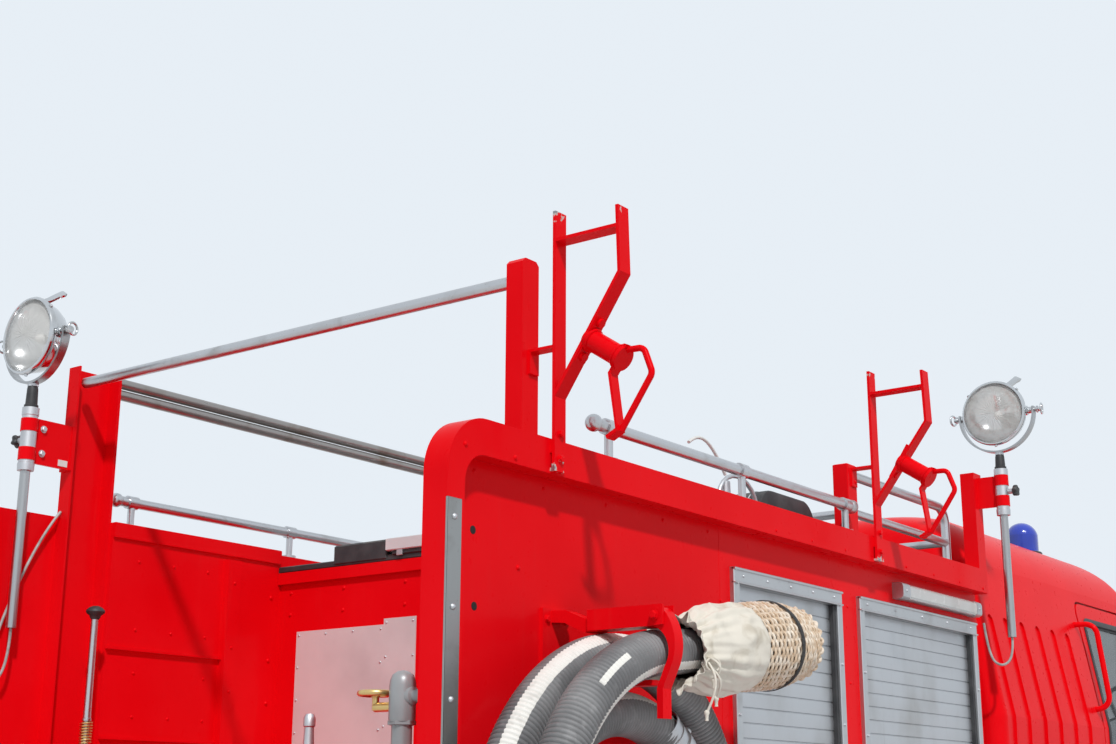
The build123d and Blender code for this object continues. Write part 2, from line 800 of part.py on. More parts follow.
# Body sides: recessed wall, raised border above and behind, shutter and wheel-arch openings
body_side_parts = []
for side in (-1, 1):
    with BuildPart() as body_side:
        with BuildSketch(Plane.YZ.offset(side * body_inner_x)) as wall_shape:
            with BuildLine():
                Line((body_front_y, skirt_z), (body_rear_y, skirt_z))
                Line((body_rear_y, skirt_z), (body_rear_y, roof_edge_z - border_outer_radius))
                RadiusArc(
                    (body_rear_y, roof_edge_z - border_outer_radius),
                    (body_rear_y - border_outer_radius, roof_edge_z),
                    -border_outer_radius,
                )
                Line((body_rear_y - border_outer_radius, roof_edge_z), (body_front_y, roof_edge_z))
                Line((body_front_y, roof_edge_z), (body_front_y, skirt_z))
            make_face()
        extrude(amount=side * (flange_x - body_inner_x))
        with BuildSketch(Plane.YZ.offset(side * panel_x)):
            with BuildLine():
                inner_rear_y = body_rear_y - rear_border
                inner_top_z = roof_edge_z - flange_height
                Line((body_front_y - 5, skirt_z - 5), (inner_rear_y, skirt_z - 5))
                Line((inner_rear_y, skirt_z - 5), (inner_rear_y, inner_top_z - border_inner_radius))
                RadiusArc(
                    (inner_rear_y, inner_top_z - border_inner_radius),
                    (inner_rear_y - border_inner_radius, inner_top_z),
                    -border_inner_radius,
                )
                Line((inner_rear_y - border_inner_radius, inner_top_z), (body_front_y - 5, inner_top_z))
                Line((body_front_y - 5, inner_top_z), (body_front_y - 5, skirt_z - 5))
            make_face()
        extrude(amount=side * 100, mode=Mode.SUBTRACT)
        for rear_y, front_y, foot_z in shutter_rows:
            slab(side * 900, side * 1200, rear_y, front_y, foot_z, shutter_header_z, mode=Mode.SUBTRACT)
        with Locations(Location((0, rear_axle_y, axle_z), (0, 90, 0))):
            Cylinder(rear_arch_radius, 3000, mode=Mode.SUBTRACT)
    body_side_parts.append(body_side.part)
with BuildPart() as body_sides:
    add(body_side_parts)
finish(body_sides.part, "body_sides")

# Roller shutters: frame, drum box, slatted curtain and a foot bar with its handle
shutter_parts = []
for side in (-1, 1):
    for rear_y, front_y, foot_z in shutter_rows:
        back_x = panel_x - shutter_recess
        with BuildPart() as shutter:
            with BuildSketch(Plane.YZ.offset(side * back_x)):
                with Locations(((rear_y + front_y) / 2, (foot_z + shutter_header_z) / 2)):
                    Rectangle(rear_y - front_y, shutter_header_z - foot_z)
                    Rectangle(
                        rear_y - front_y - 2 * shutter_frame,
                        shutter_header_z - foot_z - 2 * shutter_header,
                        mode=Mode.SUBTRACT,
                    )
            extrude(amount=side * (shutter_recess + shutter_frame_depth))
            opening_low = foot_z + shutter_header
            opening_high = shutter_header_z - shutter_header
            slat_count = int((opening_high - opening_low) / slat_pitch)
            pitch = (opening_high - opening_low) / slat_count
            with BuildSketch(Plane.XZ.offset(-(rear_y - shutter_frame))):
                with BuildLine():
                    face_x = side * (back_x + slat_thickness)
                    crown_x = side * (back_x + slat_thickness + 5)
                    Polyline((face_x, opening_high), (side * back_x, opening_high), (side * back_x, opening_low), (face_x, opening_low))
                    for slat in range(slat_count):
                        low = opening_low + slat * pitch
                        Line((face_x, low), (face_x, low + 6))
                        ThreePointArc((face_x, low + 6), (crown_x, low + (pitch + 6) / 2), (face_x, low + pitch))
                make_face()
            extrude(amount=rear_y - front_y - 2 * shutter_frame)
            slab(
                side * (back_x + 8),
                side * (back_x + shutter_recess + 4),
                rear_y - shutter_frame,
                front_y + shutter_frame,
                opening_low,
                opening_low + 70,
            )
            slab(
                side * (back_x + shutter_recess),
                side * (back_x + shutter_recess + 26),
                (rear_y + front_y) / 2 - 90,
                (rear_y + front_y) / 2 + 90,
                opening_low + 22,
                opening_low + 46,
            )
        shutter_parts.append(shutter.part)
with BuildPart() as shutters:
    add(shutter_parts)
finish(shutters.part, "shutters")

guard_sheet = 4
mudguard_width = 370
# Body base: floor, bearers on the chassis rails, and the front and rear cross walls
with BuildPart() as body_base:
    slab(-body_inner_x, body_inner_x, body_front_y, body_rear_y, floor_z, floor_z + floor_thickness)
    for side in (-1, 1):
        slab(side * rail_x - 40, side * rail_x + 40, body_front_y, body_rear_y - 40, rail_top_z, floor_z)
    slab(-body_inner_x, body_inner_x, body_front_y, body_front_y + 30, floor_z + floor_thickness, deck_z - deck_thickness)
    slab(-body_inner_x, body_inner_x, body_front_y, body_front_y + 20, skirt_z + 40, floor_z)
    slab(-rail_x - 60, rail_x + 60, body_front_y - 5, body_front_y + 30, skirt_z, rail_top_z, mode=Mode.SUBTRACT)
    slab(-body_inner_x, body_inner_x, body_rear_y - 30, body_rear_y, skirt_z, recess_floor_z - 30)
    slab(-rail_x - 60, rail_x + 60, body_rear_y - 40, body_rear_y + 5, skirt_z - 5, rail_top_z, mode=Mode.SUBTRACT)
    for arch_y in (rear_axle_y - rear_arch_radius - 40, rear_axle_y + rear_arch_radius + 20):
        for side in (-1, 1):
            slab(side * (rail_x + 60), side * body_inner_x, arch_y, arch_y + 20, skirt_z + 20, floor_z)
finish(body_base.part, "body_base")

# Rear mudguards: sheet arches over the twin tyres, seated on the sides of the body
with BuildPart() as rear_mudguards:
    for side in (-1, 1):
        with BuildSketch(Plane.YZ.offset(side * body_inner_x)):
            with Locations((rear_axle_y, axle_z)):
                Circle(rear_arch_radius + guard_sheet)
                Circle(rear_arch_radius, mode=Mode.SUBTRACT)
                with Locations((0, -rear_arch_radius / 2)):
                    Rectangle(3 * rear_arch_radius, rear_arch_radius + 40, mode=Mode.SUBTRACT)
        extrude(amount=-side * mudguard_width)
finish(rear_mudguards.part, "rear_mudguards")

# Fuel tank strapped between the rails behind the rear axle, and the exhaust on the left
exhaust_x = 225
exhaust_z = 545
tank_front_y = 1900
tank_rear_y = 2560
with BuildPart() as tank_and_exhaust:
    with BuildSketch(Plane.XZ.offset(-tank_front_y)):
        with Locations((0, 690)):
            RectangleRounded(2 * rail_x - 130, 300, 60)
    extrude(amount=tank_front_y - tank_rear_y)
    for strap_y in (tank_front_y + 130, tank_rear_y - 130):
        slab(-rail_x + 30, rail_x - 30, strap_y - 25, strap_y + 25, rail_bottom_z + 30, rail_bottom_z + 60)
        with BuildSketch(Plane.XZ.offset(-strap_y - 25)):
            with Locations((0, 690)):
                RectangleRounded(2 * rail_x - 122, 308, 64)
        extrude(amount=50)
    # silencer beside the shaft, with its tail pipe under the left rail
    rod((exhaust_x, -820, exhaust_z), (exhaust_x, -120, exhaust_z), 88)
    rod((exhaust_x, -1560, exhaust_z), (exhaust_x, -800, exhaust_z), 33)
    rod((exhaust_x, -130, exhaust_z), (exhaust_x, 150, exhaust_z), 33)
    with Locations((exhaust_x, -1560, exhaust_z), (exhaust_x, 150, exhaust_z), (exhaust_x + 330, 330, exhaust_z)):
        Sphere(34)
    rod((exhaust_x, 150, exhaust_z), (exhaust_x + 330, 330, exhaust_z), 32)
    rod((exhaust_x + 330, 330, exhaust_z), (980, 360, exhaust_z - 20), 31)
    rod((exhaust_x - 26, -1638, exhaust_z), (exhaust_x, -1560, exhaust_z), 32)
    slab(exhaust_x - 68, exhaust_x + 10, -1649.7, -1635, exhaust_z - 40, exhaust_z + 40)
    for hanger_y in (-300, -1040):
        slab(exhaust_x - 15, exhaust_x + 15, hanger_y - 12, hanger_y + 12, exhaust_z + 20, rail_bottom_z + 29.7)
finish(tank_and_exhaust.part, "tank_and_exhaust")

# Pump recess: floor, back wall and left liner, open to the sky and to the rear
with BuildPart() as pump_recess:
    slab(-body_inner_x, body_inner_x, bulkhead_y, body_rear_y, recess_floor_z - 30, recess_floor_z)
    slab(-body_inner_x, liner_x + 30, bulkhead_y, bulkhead_y - bulkhead_thickness, recess_floor_z - 30, deck_z - deck_thickness)
    slab(liner_x, body_inner_x, bulkhead_y, post_channel_front_y, recess_floor_z, roof_edge_z)
    # stiffeners and top lip of the left liner
    rib_y = 1835
    slab(liner_x - 30, liner_x, rib_y - 32, rib_y + 32, recess_floor_z, roof_edge_z - 70)
    for rib_z in (2050, 1745):
        slab(liner_x - 14, liner_x, rib_y + 32, post_channel_front_y, rib_z - 5, rib_z + 5)
    slab(liner_x - 10, liner_x, bulkhead_y + 12, post_channel_front_y, roof_edge_z - 52, roof_edge_z)
finish(pump_recess.part, "pump_recess")

# Plates on the back wall of the recess
with BuildPart() as recess_panel:
    slab(389, 838, bulkhead_y, bulkhead_y + 3, 1290, 2167)
    slab(232, 389, bulkhead_y, bulkhead_y + 3, 1290, 2188)
finish(recess_panel.part, "recess_panel")

# Recess fittings: standpipe with its wall clamp and valve, branch pipe and hand lever
pipe_x = -888
pipe_y = 2880
with BuildPart() as recess_fittings:
    rod((pipe_x, pipe_y, recess_floor_z), (pipe_x, pipe_y, 1800), 26)
    rod((pipe_x, pipe_y, 1745), (pipe_x, pipe_y, 1815), 33)
    with Locations((pipe_x, pipe_y, 1815)):
        Sphere(33)
    rod((pipe_x, pipe_y, 1785), (-body_inner_x, pipe_y, 1785), 15)
    with BuildSketch(Plane.YZ.offset(-body_inner_x)):
        with Locations((pipe_y, 1785)):
            SlotOverall(150, 52, rotation=90)
    extrude(amount=14)
    for bolt_z in (1735, 1835):
        rod((-body_inner_x, pipe_y, bolt_z), (-body_inner_x + 30, pipe_y, bolt_z), 10)
    # branch pipe standing in the recess
    rod((-80, 2400, recess_floor_z), (-80, 2400, 1300), 42)
    rod((-80, 2400, 1300), (-80, 2400, 1560), 24)
    with BuildSketch(Plane.XY.offset(1560)):
        with Locations((-80, 2400)):
            Circle(24)
    extrude(amount=230, taper=2.6)
    # hand lever by the left post
    rod((862, 2500, recess_floor_z), (862, 2500, 1720), 15)
    rod((862, 2500, 1690), (858, 2500, 2150), 12)
    with Locations((858, 2500, 2158)):
        Sphere(26)
finish(recess_fittings.part, "recess_fittings")
with BuildPart() as valve_wheel:
    wheel_spot = Location((pipe_x + 92, pipe_y, 1795))
    with Locations(wheel_spot):
        Torus(40, 8)
        Cylinder(12, 20)
        with PolarLocations(20, 3):
            Box(44, 9, 6)
    rod((pipe_x + 20, pipe_y, 1760), (pipe_x + 92, pipe_y, 1760), 12)
    rod((pipe_x + 92, pipe_y, 1752), (pipe_x + 92, pipe_y, 1800), 9)
    rod((pipe_x, pipe_y, 1700), (pipe_x, pipe_y, 1830), 33, mode=Mode.SUBTRACT)
finish(valve_wheel.part, "valve_wheel")

# Roof deck with its kerb inside the borders
with BuildPart() as roof_deck:
    slab(-body_inner_x, body_inner_x, body_front_y, bulkhead_y, deck_z - deck_thickness, deck_z)
    slab(-body_inner_x, liner_x, bulkhead_y, bulkhead_y + 12, deck_z - 60, deck_z + 4)
    slab(-body_inner_x, body_inner_x, body_front_y, body_front_y + 30, deck_z, roof_edge_z)
finish(roof_deck.part, "roof_deck")
with BuildPart() as roof_gear:
    slab(-120, 190, 1420, bulkhead_y - 20, deck_z, deck_z + 62)
    slab(-430, -140, 1380, bulkhead_y + 2, deck_z + 4, deck_z + 70)
    slab(-430, -140, 1400, bulkhead_y - 20, deck_z, deck_z + 4)
    # round-ended box by the right rail
    with BuildSketch(Plane.YZ.offset(-960)):
        with Locations((950, deck_z + 90)):
            SlotOverall(400, 180)
    extrude(amount=230)
finish(roof_gear.part, "roof_gear")

# Rear step and bumper
with BuildPart() as rear_step:
    slab(-1080, 1080, body_rear_y, 3080, 470, 510)
    slab(-1080, 1080, 3040, 3080, 380, 520)
    for side in (-1, 1):
        slab(side * rail_x - 35, side * rail_x + 35, rail_rear_y, body_rear_y + 60, 470, rail_top_z - 10)
    slab(-1080, 1080, body_rear_y, body_rear_y + 30, 430, 520)
finish(rear_step.part, "rear_step")

# Area light over the front shutter on each side
with BuildPart() as area_lights:
    for side in (-1, 1):
        slab(side * panel_x, side * (panel_x + 46), 311, -444, 2288, 2350)
    fillet(area_lights.edges().filter_by(Axis.Y).group_by(Axis.X)[0], 12)
    fillet(area_lights.edges().filter_by(Axis.Y).group_by(Axis.X)[-1], 12)
finish(area_lights.part, "area_lights")

# Corner strips of stainless sheet on the rear corners
strip_top_z = 2261
with BuildPart() as corner_strips:
    for side in (-1, 1):
        slab(side * (flange_x + 2), side * flange_x, body_rear_y + 2, body_rear_y - 72, skirt_z, strip_top_z)
        slab(side * (flange_x + 2), side * (flange_x - 18), body_rear_y + 2, body_rear_y, skirt_z, strip_top_z)
finish(corner_strips.part, "corner_strips")

# Posts of the rear gantry and of the front, and the plates that carry the searchlights
front_post_y = (-516, -440)
post_in_x = body_inner_x - post_width
border_mid_x = (flange_x + body_inner_x) / 2
with BuildPart() as gantry_posts:
    slab(-body_inner_x, -post_in_x, bar_y - 44, bar_y + 30, recess_floor_z, post_top_z)
    chamfer(gantry_posts.edges().filter_by(Axis.X).sort_by(Axis.Z)[-2:], 12)
    slab(body_inner_x, post_in_x, post_channel_front_y, bar_y + 30, recess_floor_z, post_top_z)
    slab(body_inner_x - 5, post_in_x - 5, post_channel_front_y + 12, bar_y + 23, recess_floor_z - 5, post_top_z + 5, mode=Mode.SUBTRACT)
    slab(-flange_x, -flange_x + 60, front_post_y[0] + 26, front_post_y[1] + 26, roof_edge_z, 2890)
    slab(body_inner_x, post_in_x, front_post_y[0] + 56, front_post_y[1] + 26, deck_z, post_top_z)
    for name, pole_x, pole_y, foot_z, clamp_z, lamp_z in lamp_rows:
        if name == "rear":
            slab(pole_x - 5, pole_x + 5, bar_y + 30, pole_y - 20, 2642, 2798)
            slab(post_in_x, body_inner_x, bar_y + 30, bar_y + 38, 2642, 2798)
            bands = (2670, 2770)
        else:
            slab(-flange_x, pole_x + 20, pole_y - 5, pole_y + 5, 2740, 2870)
            bands = (2762, 2848)
        for band_z in bands:
            with Locations((pole_x, pole_y, band_z)):
                Cylinder(clamp_radius, 44)
        rod((pole_x, pole_y, bands[0] - 30), (pole_x, pole_y, bands[1] + 30), pole_radius + running_gap, mode=Mode.SUBTRACT)
finish(gantry_posts.part, "gantry_posts")

# Cross bar between the gantry posts, and the twin tubes on the left
with BuildPart() as gantry_tubes:
    rod((-post_in_x, bar_y, bar_z), (post_in_x, bar_y, bar_z), 19)
    for tube_z in (2958, 3000):
        rod((985, front_post_y[1] + 26, tube_z), (985, post_channel_front_y, tube_z), 19)

# Roof edge hand rails on stanchions
stanchion_rows = [  # side, rear end y, front end y, stanchions along y
    (-1, 2272, 640, (2197, 1432, 693)),
    (1, 2300, -380, (2230, 1432, 560, -330)),
]
with BuildPart() as roof_rails:
    for side, rear_y, front_y, spots in stanchion_rows:
        rod((side * rail_tube_x, front_y, rail_tube_z), (side * rail_tube_x, rear_y, rail_tube_z), tube_radius)
        for spot_y in (rear_y, front_y):
            with Locations((side * rail_tube_x, spot_y, rail_tube_z)):
                Sphere(fitting_radius)
        for spot_y in spots:
            rod((side * rail_tube_x, spot_y, roof_edge_z), (side * rail_tube_x, spot_y, rail_tube_z), 13)
            rod((side * rail_tube_x, spot_y, roof_edge_z), (side * rail_tube_x, spot_y, roof_edge_z + 10), 28)
            rod((side * rail_tube_x, spot_y - 22, rail_tube_z), (side * rail_tube_x, spot_y + 22, rail_tube_z), 24)
    # guard rail round the front of the deck
    slab(-body_inner_x, -post_in_x, 525, 595, deck_z, 2765)
    tube_run(
        [(-guard_x, 530, 2745), (-guard_x, guard_front_y, 2745), (-guard_x, guard_front_y, deck_z)],
        tube_radius,
        70,
    )
    rod((-guard_x, 530, 2600), (-guard_x, guard_front_y, 2600), tube_radius - 1)
    for rail_y in (480, guard_front_y):
        rod((-guard_x, rail_y, 2600), (guard_x, rail_y, 2600), tube_radius - 2)
        rod((guard_x, rail_y, deck_z), (guard_x, rail_y, 2620), tube_radius - 0.5)
with BuildPart() as all_rails:
    add([roof_rails.part, gantry_tubes.part])
finish(all_rails.part, "roof_rails")

# Ladder brackets: bent flat bar 50 mm deep along Y, with a spring lock and its D handle
upright_x = flange_x + 6
lock_way = Vector(-0.83, 0, -0.558)
bracket_parts = []
for centre_y, top_z in bracket_rows:
    with BuildPart() as bracket:
        half = flat_width / 2
        slab(-upright_x, -upright_x - flat_thickness, centre_y - half, centre_y + half, bracket_foot_z, top_z)
        slab(-flange_x, -upright_x - flat_thickness, centre_y - half, centre_y + half, bracket_foot_z, bracket_foot_z + 9)
        slab(-flange_x, -upright_x, centre_y - half, centre_y + half, roof_edge_z - 40, roof_edge_z - 4)
        top_arm_z = top_z - 92
        slab(-upright_x, -bracket_outer_x, centre_y - half, centre_y + half, top_arm_z, top_arm_z + flat_thickness)
        with BuildSketch(Plane.XZ.offset(-centre_y - half)):
            with BuildLine():
                Polyline(
                    (-bracket_outer_x + 6, top_z - 28),
                    (-bracket_outer_x - 4, top_z - 28),
                    (-bracket_outer_x - 10, top_z - 222),
                    (-upright_x - 2, 2590),
                    (-upright_x - 2, 2608),
                    (-bracket_outer_x, top_z - 220),
                    close=True,
                )
            make_face()
        extrude(amount=flat_width)
        # strap to the post behind
        slab(-body_inner_x, -body_inner_x - 8, centre_y - 20, centre_y + 20, 2682, 2752)
        slab(-body_inner_x, -upright_x, centre_y - 20, centre_y + 20, 2744, 2752)
        # lock: bolted plate, spring barrel and collar
        bar_mid = Vector(-1212, centre_y, 2756)
        with Locations(Plane(origin=bar_mid, x_dir=(0, 1, 0), z_dir=lock_way).location):
            Box(44, 136, 11, align=(Align.CENTER, Align.CENTER, Align.MIN))
            with Locations((0, 52, 11), (0, -52, 11)):
                Cylinder(13, 9, align=(Align.CENTER, Align.CENTER, Align.MIN))
            Cylinder(30, 138, align=(Align.CENTER, Align.CENTER, Align.MIN))
            with Locations((0, 0, 128)):
                Cylinder(36, 12, align=(Align.CENTER, Align.CENTER, Align.MIN))
        # D handle: flat strap and bent rod
        with BuildSketch(Plane.XZ.offset(-centre_y - 18)):
            with BuildLine():
                Polyline(
                    (-1350, 2712),
                    (-1296, 2640),
                    (-1318, 2480),
                    (-1282, 2462),
                    (-1278, 2471),
                    (-1310, 2487),
                    (-1287, 2643),
                    (-1340, 2716),
                    close=True,
                )
            make_face()
        extrude(amount=36)
        tube_run(
            [(-1330, centre_y, 2702), (-1392, centre_y, 2700), (-1419, centre_y, 2626), (-1318, centre_y, 2482)],
            9,
            24,
        )
    bracket_parts.append(bracket.part)
with BuildPart() as ladder_brackets:
    add(bracket_parts)
finish(ladder_brackets.part, "ladder_brackets")

# Searchlights on poles
for name, pole_x, pole_y, foot_z, clamp_z, lamp_z in lamp_rows:
    with BuildPart() as pole:
        rod((pole_x, pole_y, foot_z), (pole_x, pole_y, clamp_z + 40), pole_radius)
        for band_z in (2625, 2818) if name == "rear" else (2715, 2885):
            with Locations((pole_x, pole_y, band_z)):
                Cylinder(clamp_radius - 3, 20)
        yoke_reach = lamp_radius + 22
        rod((pole_x, pole_y, clamp_z + 40), (pole_x, pole_y, lamp_z - yoke_reach), 12)
        with BuildSketch(Plane.XZ.offset(-pole_y - 15)):
            with Locations((pole_x, lamp_z)):
                Circle(yoke_reach + 4)
                Circle(yoke_reach - 4, mode=Mode.SUBTRACT)
                with Locations((0, yoke_reach + 12)):
                    Rectangle(3 * yoke_reach, 2 * yoke_reach, mode=Mode.SUBTRACT)
        extrude(amount=30)
        for side in (-1, 1):
            slab(pole_x + side * (yoke_reach - 4), pole_x + side * (yoke_reach + 4), pole_y - 15, pole_y + 15, lamp_z - 14, lamp_z + 14)
            rod((pole_x + side * (lamp_radius - 8), pole_y, lamp_z), (pole_x + side * (yoke_reach + 14), pole_y, lamp_z), 9)
    finish(pole.part, f"searchlight_{name}_pole")
    with BuildPart() as head:
        with BuildSketch(Plane.XY):
            with BuildLine():
                Line((0, 45), (lamp_radius, 45))
                Line((lamp_radius, 45), (lamp_radius, 18))
                Line((lamp_radius, 18), (lamp_radius - 8, 10))
                cap_arc((lamp_radius - 8, 10), -95)
                Line((0, -85), (0, 45))
            make_face()
        revolve(axis=Axis.Y)
        rod((-lamp_radius - 5, 0, 0), (lamp_radius + 5, 0, 0), 9 + running_gap, mode=Mode.SUBTRACT)
    finish(head.part.moved(Location((pole_x, pole_y, lamp_z))), f"searchlight_{name}_head")


# Cables of the searchlights: from the foot of each pole to the body
cable_radius = 5
cable_rows = [  # name, bend, route points
    (
        "rear",
        24,
        [
            (968, 2749, 2083.7),
            (968, 2749, 1960),
            (980, 2800, 1890),
            (1006, 2800, 2010),
            (1000, 2650, 2400),
            (994, 2574.5, 2500),
        ],
    ),
    (
        "front",
        26,
        [
            (-1205, -452, 2199.7),
            (-1205, -452, 2120),
            (-1165, -430, 2080),
            (-1115, -420, 2120),
            (-1105.3, -410, 2260),
        ],
    ),
]
for name, bend, points in cable_rows:
    with BuildPart() as cable:
        tube_run(points, cable_radius, bend)
    finish(cable.part, f"cable_{name}")

# Mirrors on arms at the windscreen pillars
mirror_tip_x = 1428
with BuildPart() as mirrors:
    for side in (-1, 1):
        tube_run(
            [
                (side * (cab_half_width - 90), -2820, 1560),
                (side * 1310, -2950, 1560),
                (side * 1310, -2950, 2240),
                (side * 945, -2790, 2240),
            ],
            11,
            50,
        )
        slab(side * (mirror_tip_x - 230), side * mirror_tip_x, -2990, -2960, 1700, 2110)
    cab_block(0, Mode.SUBTRACT)
finish(mirrors.part, "mirrors")

# Blue lamps on the cab roof
beacon_parts = []
for side in (-1, 1):
    with BuildPart() as beacon:
        with BuildSketch(Plane.XZ) as dome:
            with BuildLine():
                Polyline((0, 0), (95, 0), (95, 30), (82, 38), (82, 120))
                cap_arc((82, 120), 70)
                Line((0, 190), (0, 0))
            make_face()
        revolve(axis=Axis.Z)
    with BuildPart() as seated_beacon:
        add(beacon.part.moved(Location((side * 620, -2200, cab_roof_z - 42))))
        add(roof_outside, mode=Mode.SUBTRACT)
    beacon_parts.append(seated_beacon.part)
with BuildPart() as beacons:
    add(beacon_parts)
finish(beacons.part, "beacons")

# Suction hoses: the inner coil by the wall, and the outer turn that ends in the strainer
coil_z = 1350
coil_radius = coil_top_z - coil_z
inner_turns = [(coil_radius, 230), (488, 180), (412, 200)]


def hose_turns(middle_x, begin_deg, turns, lead):
    """A hose coiled in one upright plane: arcs of (radius, degrees) in turn, then a straight lead."""
    with BuildLine() as route:
        angle = math.radians(begin_deg)
        centre = Vector(middle_x, coil_y, coil_z)
        last_radius = turns[0][0]
        for radius, sweep_deg in turns:
            centre = centre + Vector(0, math.cos(angle), math.sin(angle)) * (last_radius - radius)
            for step in range(2):
                half = angle + math.radians(sweep_deg / 4)
                ahead = angle + math.radians(sweep_deg / 2)
                ThreePointArc(
                    centre + Vector(0, math.cos(angle), math.sin(angle)) * radius,
                    centre + Vector(0, math.cos(half), math.sin(half)) * radius,
                    centre + Vector(0, math.cos(ahead), math.sin(ahead)) * radius,
                )
                angle = ahead
            last_radius = radius
        if lead:
            tip = centre + Vector(0, math.cos(angle), math.sin(angle)) * last_radius
            Line(tip, tip + Vector(0, -math.sin(angle), math.cos(angle)) * lead)
    return route.line


inner_route = hose_turns(-hose_inner_x, -120, inner_turns, 0)
with BuildPart() as hose_inner:
    with BuildSketch(Plane(origin=inner_route @ 0, z_dir=inner_route % 0)) as inner_cut:
        Circle(hose_radius)
    sweep(inner_cut.sketch, path=inner_route)
jaw_lean = 6.5
hose_lead = 640
outer_begin = -175
outer_route = hose_turns(-hose_outer_x, outer_begin, [(coil_radius, 90 - jaw_lean - outer_begin)], hose_lead)
with BuildPart() as hose_outer:
    with BuildSketch(Plane(origin=outer_route @ 0, z_dir=outer_route % 0)) as outer_cut:
        Circle(hose_radius)
    sweep(outer_cut.sketch, path=outer_route)
with BuildPart() as suction_hoses:
    add([hose_inner.part, hose_outer.part])
finish(suction_hoses.part, "suction_hoses")

# Strainer over the end of the outer hose: canvas collar and wicker basket
lead_end = outer_route @ 1
lead_way = outer_route % 1
collar_start = 462
basket_start = 110
basket_length = 410
basket_radius = 130
basket_wall = 10
strainer_plane = Plane(origin=lead_end, x_dir=(1, 0, 0), z_dir=lead_way)
with BuildPart() as basket:
    with BuildSketch(Plane.XZ) as basket_section:
        with BuildLine():
            Polyline(
                (0, basket_length),
                (basket_radius - 42, basket_length),
                (basket_radius - 12, basket_length - 40),
                (basket_radius, basket_length * 0.4),
                (basket_radius - 14, 0),
                (basket_radius - 14 - basket_wall, 0),
                (basket_radius - basket_wall, basket_length * 0.4),
                (basket_radius - 12 - basket_wall, basket_length - 44),
                (basket_radius - 48, basket_length - basket_wall),
                (0, basket_length - basket_wall),
                close=True,
            )
        make_face()
    revolve(axis=Axis.Z)
finish(basket.part.moved(strainer_plane.offset(-basket_start).location), "strainer_basket")
with BuildPart() as collar:
    with BuildSketch(Plane.XZ) as collar_section:
        with BuildLine():
            Polyline(
                (hose_radius + 0.5, 0),
                (hose_radius + 30, 12),
                (basket_radius - 18, 110),
                (basket_radius + 2, collar_start - basket_start),
                (basket_radius + 2, collar_start - basket_start + 60),
                (basket_radius - 2, collar_start - basket_start + 60),
                (basket_radius - 13.5, collar_start - basket_start),
                (basket_radius - 24, 114),
                (hose_radius + 24, 20),
                (hose_radius + 0.5, 20),
                close=True,
            )
        make_face()
    revolve(axis=Axis.Z)
    with Locations((0, 0, collar_start - basket_start)):
        Cylinder(basket_radius + 0.3, 140, mode=Mode.SUBTRACT, align=(Align.CENTER, Align.CENTER, Align.MIN))
finish(collar.part.moved(strainer_plane.offset(-collar_start).location), "strainer_collar")

# Suction hose rack on the right side: base plate, arm, hinged jaw and lower support
rack_y = 2452
rack_half = 22
rack_gap = 0.3
jaw_in_x = hose_outer_x + hose_radius + 6
jaw_strap = 9
plate_thickness = 10
crown_rise = math.sqrt((coil_radius + hose_radius) ** 2 - (rack_y - rack_half - coil_y) ** 2)
belly_rise = math.sqrt((coil_radius - hose_radius) ** 2 - (rack_y + rack_half - coil_y) ** 2)
arm_low_z = coil_z + crown_rise + rack_gap
support_top_z = coil_z + belly_rise - rack_gap
arm_height = 34
box_in_x = hose_inner_x + 20
jaw_pin_x = hose_outer_x + 46
jaw_pin_z = arm_low_z + 30
with BuildPart() as hose_rack:
    # wall plates
    slab(-panel_x, -panel_x - plate_thickness, rack_y - 60, rack_y + 60, arm_low_z - 120, arm_low_z + 70)
    slab(-panel_x, -panel_x - plate_thickness, rack_y - 60, rack_y + 60, support_top_z - 150, support_top_z + 10)
    # upper arm with its rising gusset
    with BuildSketch(Plane.XZ.offset(-rack_y - rack_half)):
        with BuildLine():
            Polyline(
                (-panel_x, arm_low_z + 66),
                (-panel_x - 60, arm_low_z + 62),
                (-panel_x - 128, arm_low_z + arm_height),
                (-box_in_x, arm_low_z + arm_height),
                (-box_in_x, arm_low_z),
                (-panel_x - 120, arm_low_z),
                (-panel_x - 52, arm_low_z + 30),
                (-panel_x, arm_low_z + 34),
                close=True,
            )
        make_face()
    extrude(amount=2 * rack_half)
    # box end that holds the jaw pin between two cheeks
    with BuildSketch(Plane.XZ.offset(-rack_y - rack_half - 8)):
        with BuildLine():
            Polyline(
                (-box_in_x + 30, arm_low_z + 3),
                (-box_in_x + 30, arm_low_z + 58),
                (-jaw_pin_x - 22, arm_low_z + 58),
                (-jaw_pin_x - 22, arm_low_z + 6),
                (-jaw_pin_x + 20, arm_low_z + 3),
                close=True,
            )
        make_face()
    extrude(amount=2 * rack_half + 16)
    slab(-jaw_pin_x + 34, -jaw_pin_x - 40, rack_y - rack_half, rack_y + rack_half, arm_low_z - 5, arm_low_z + 65, mode=Mode.SUBTRACT)
    rod((-jaw_pin_x, rack_y - rack_half - 14, jaw_pin_z), (-jaw_pin_x, rack_y + rack_half + 14, jaw_pin_z), 8)
    # lower support arm under the hoses
    slab(-panel_x, -hose_outer_x - 30, rack_y - rack_half, rack_y + rack_half, support_top_z - 14, support_top_z)
    with BuildSketch(Plane.XZ.offset(-rack_y - 5)):
        with BuildLine():
            Polyline(
                (-panel_x, support_top_z - 10),
                (-panel_x - 76, support_top_z - 10),
                (-panel_x, support_top_z - 140),
                close=True,
            )
        make_face()
    extrude(amount=10)
finish(hose_rack.part, "hose_rack")

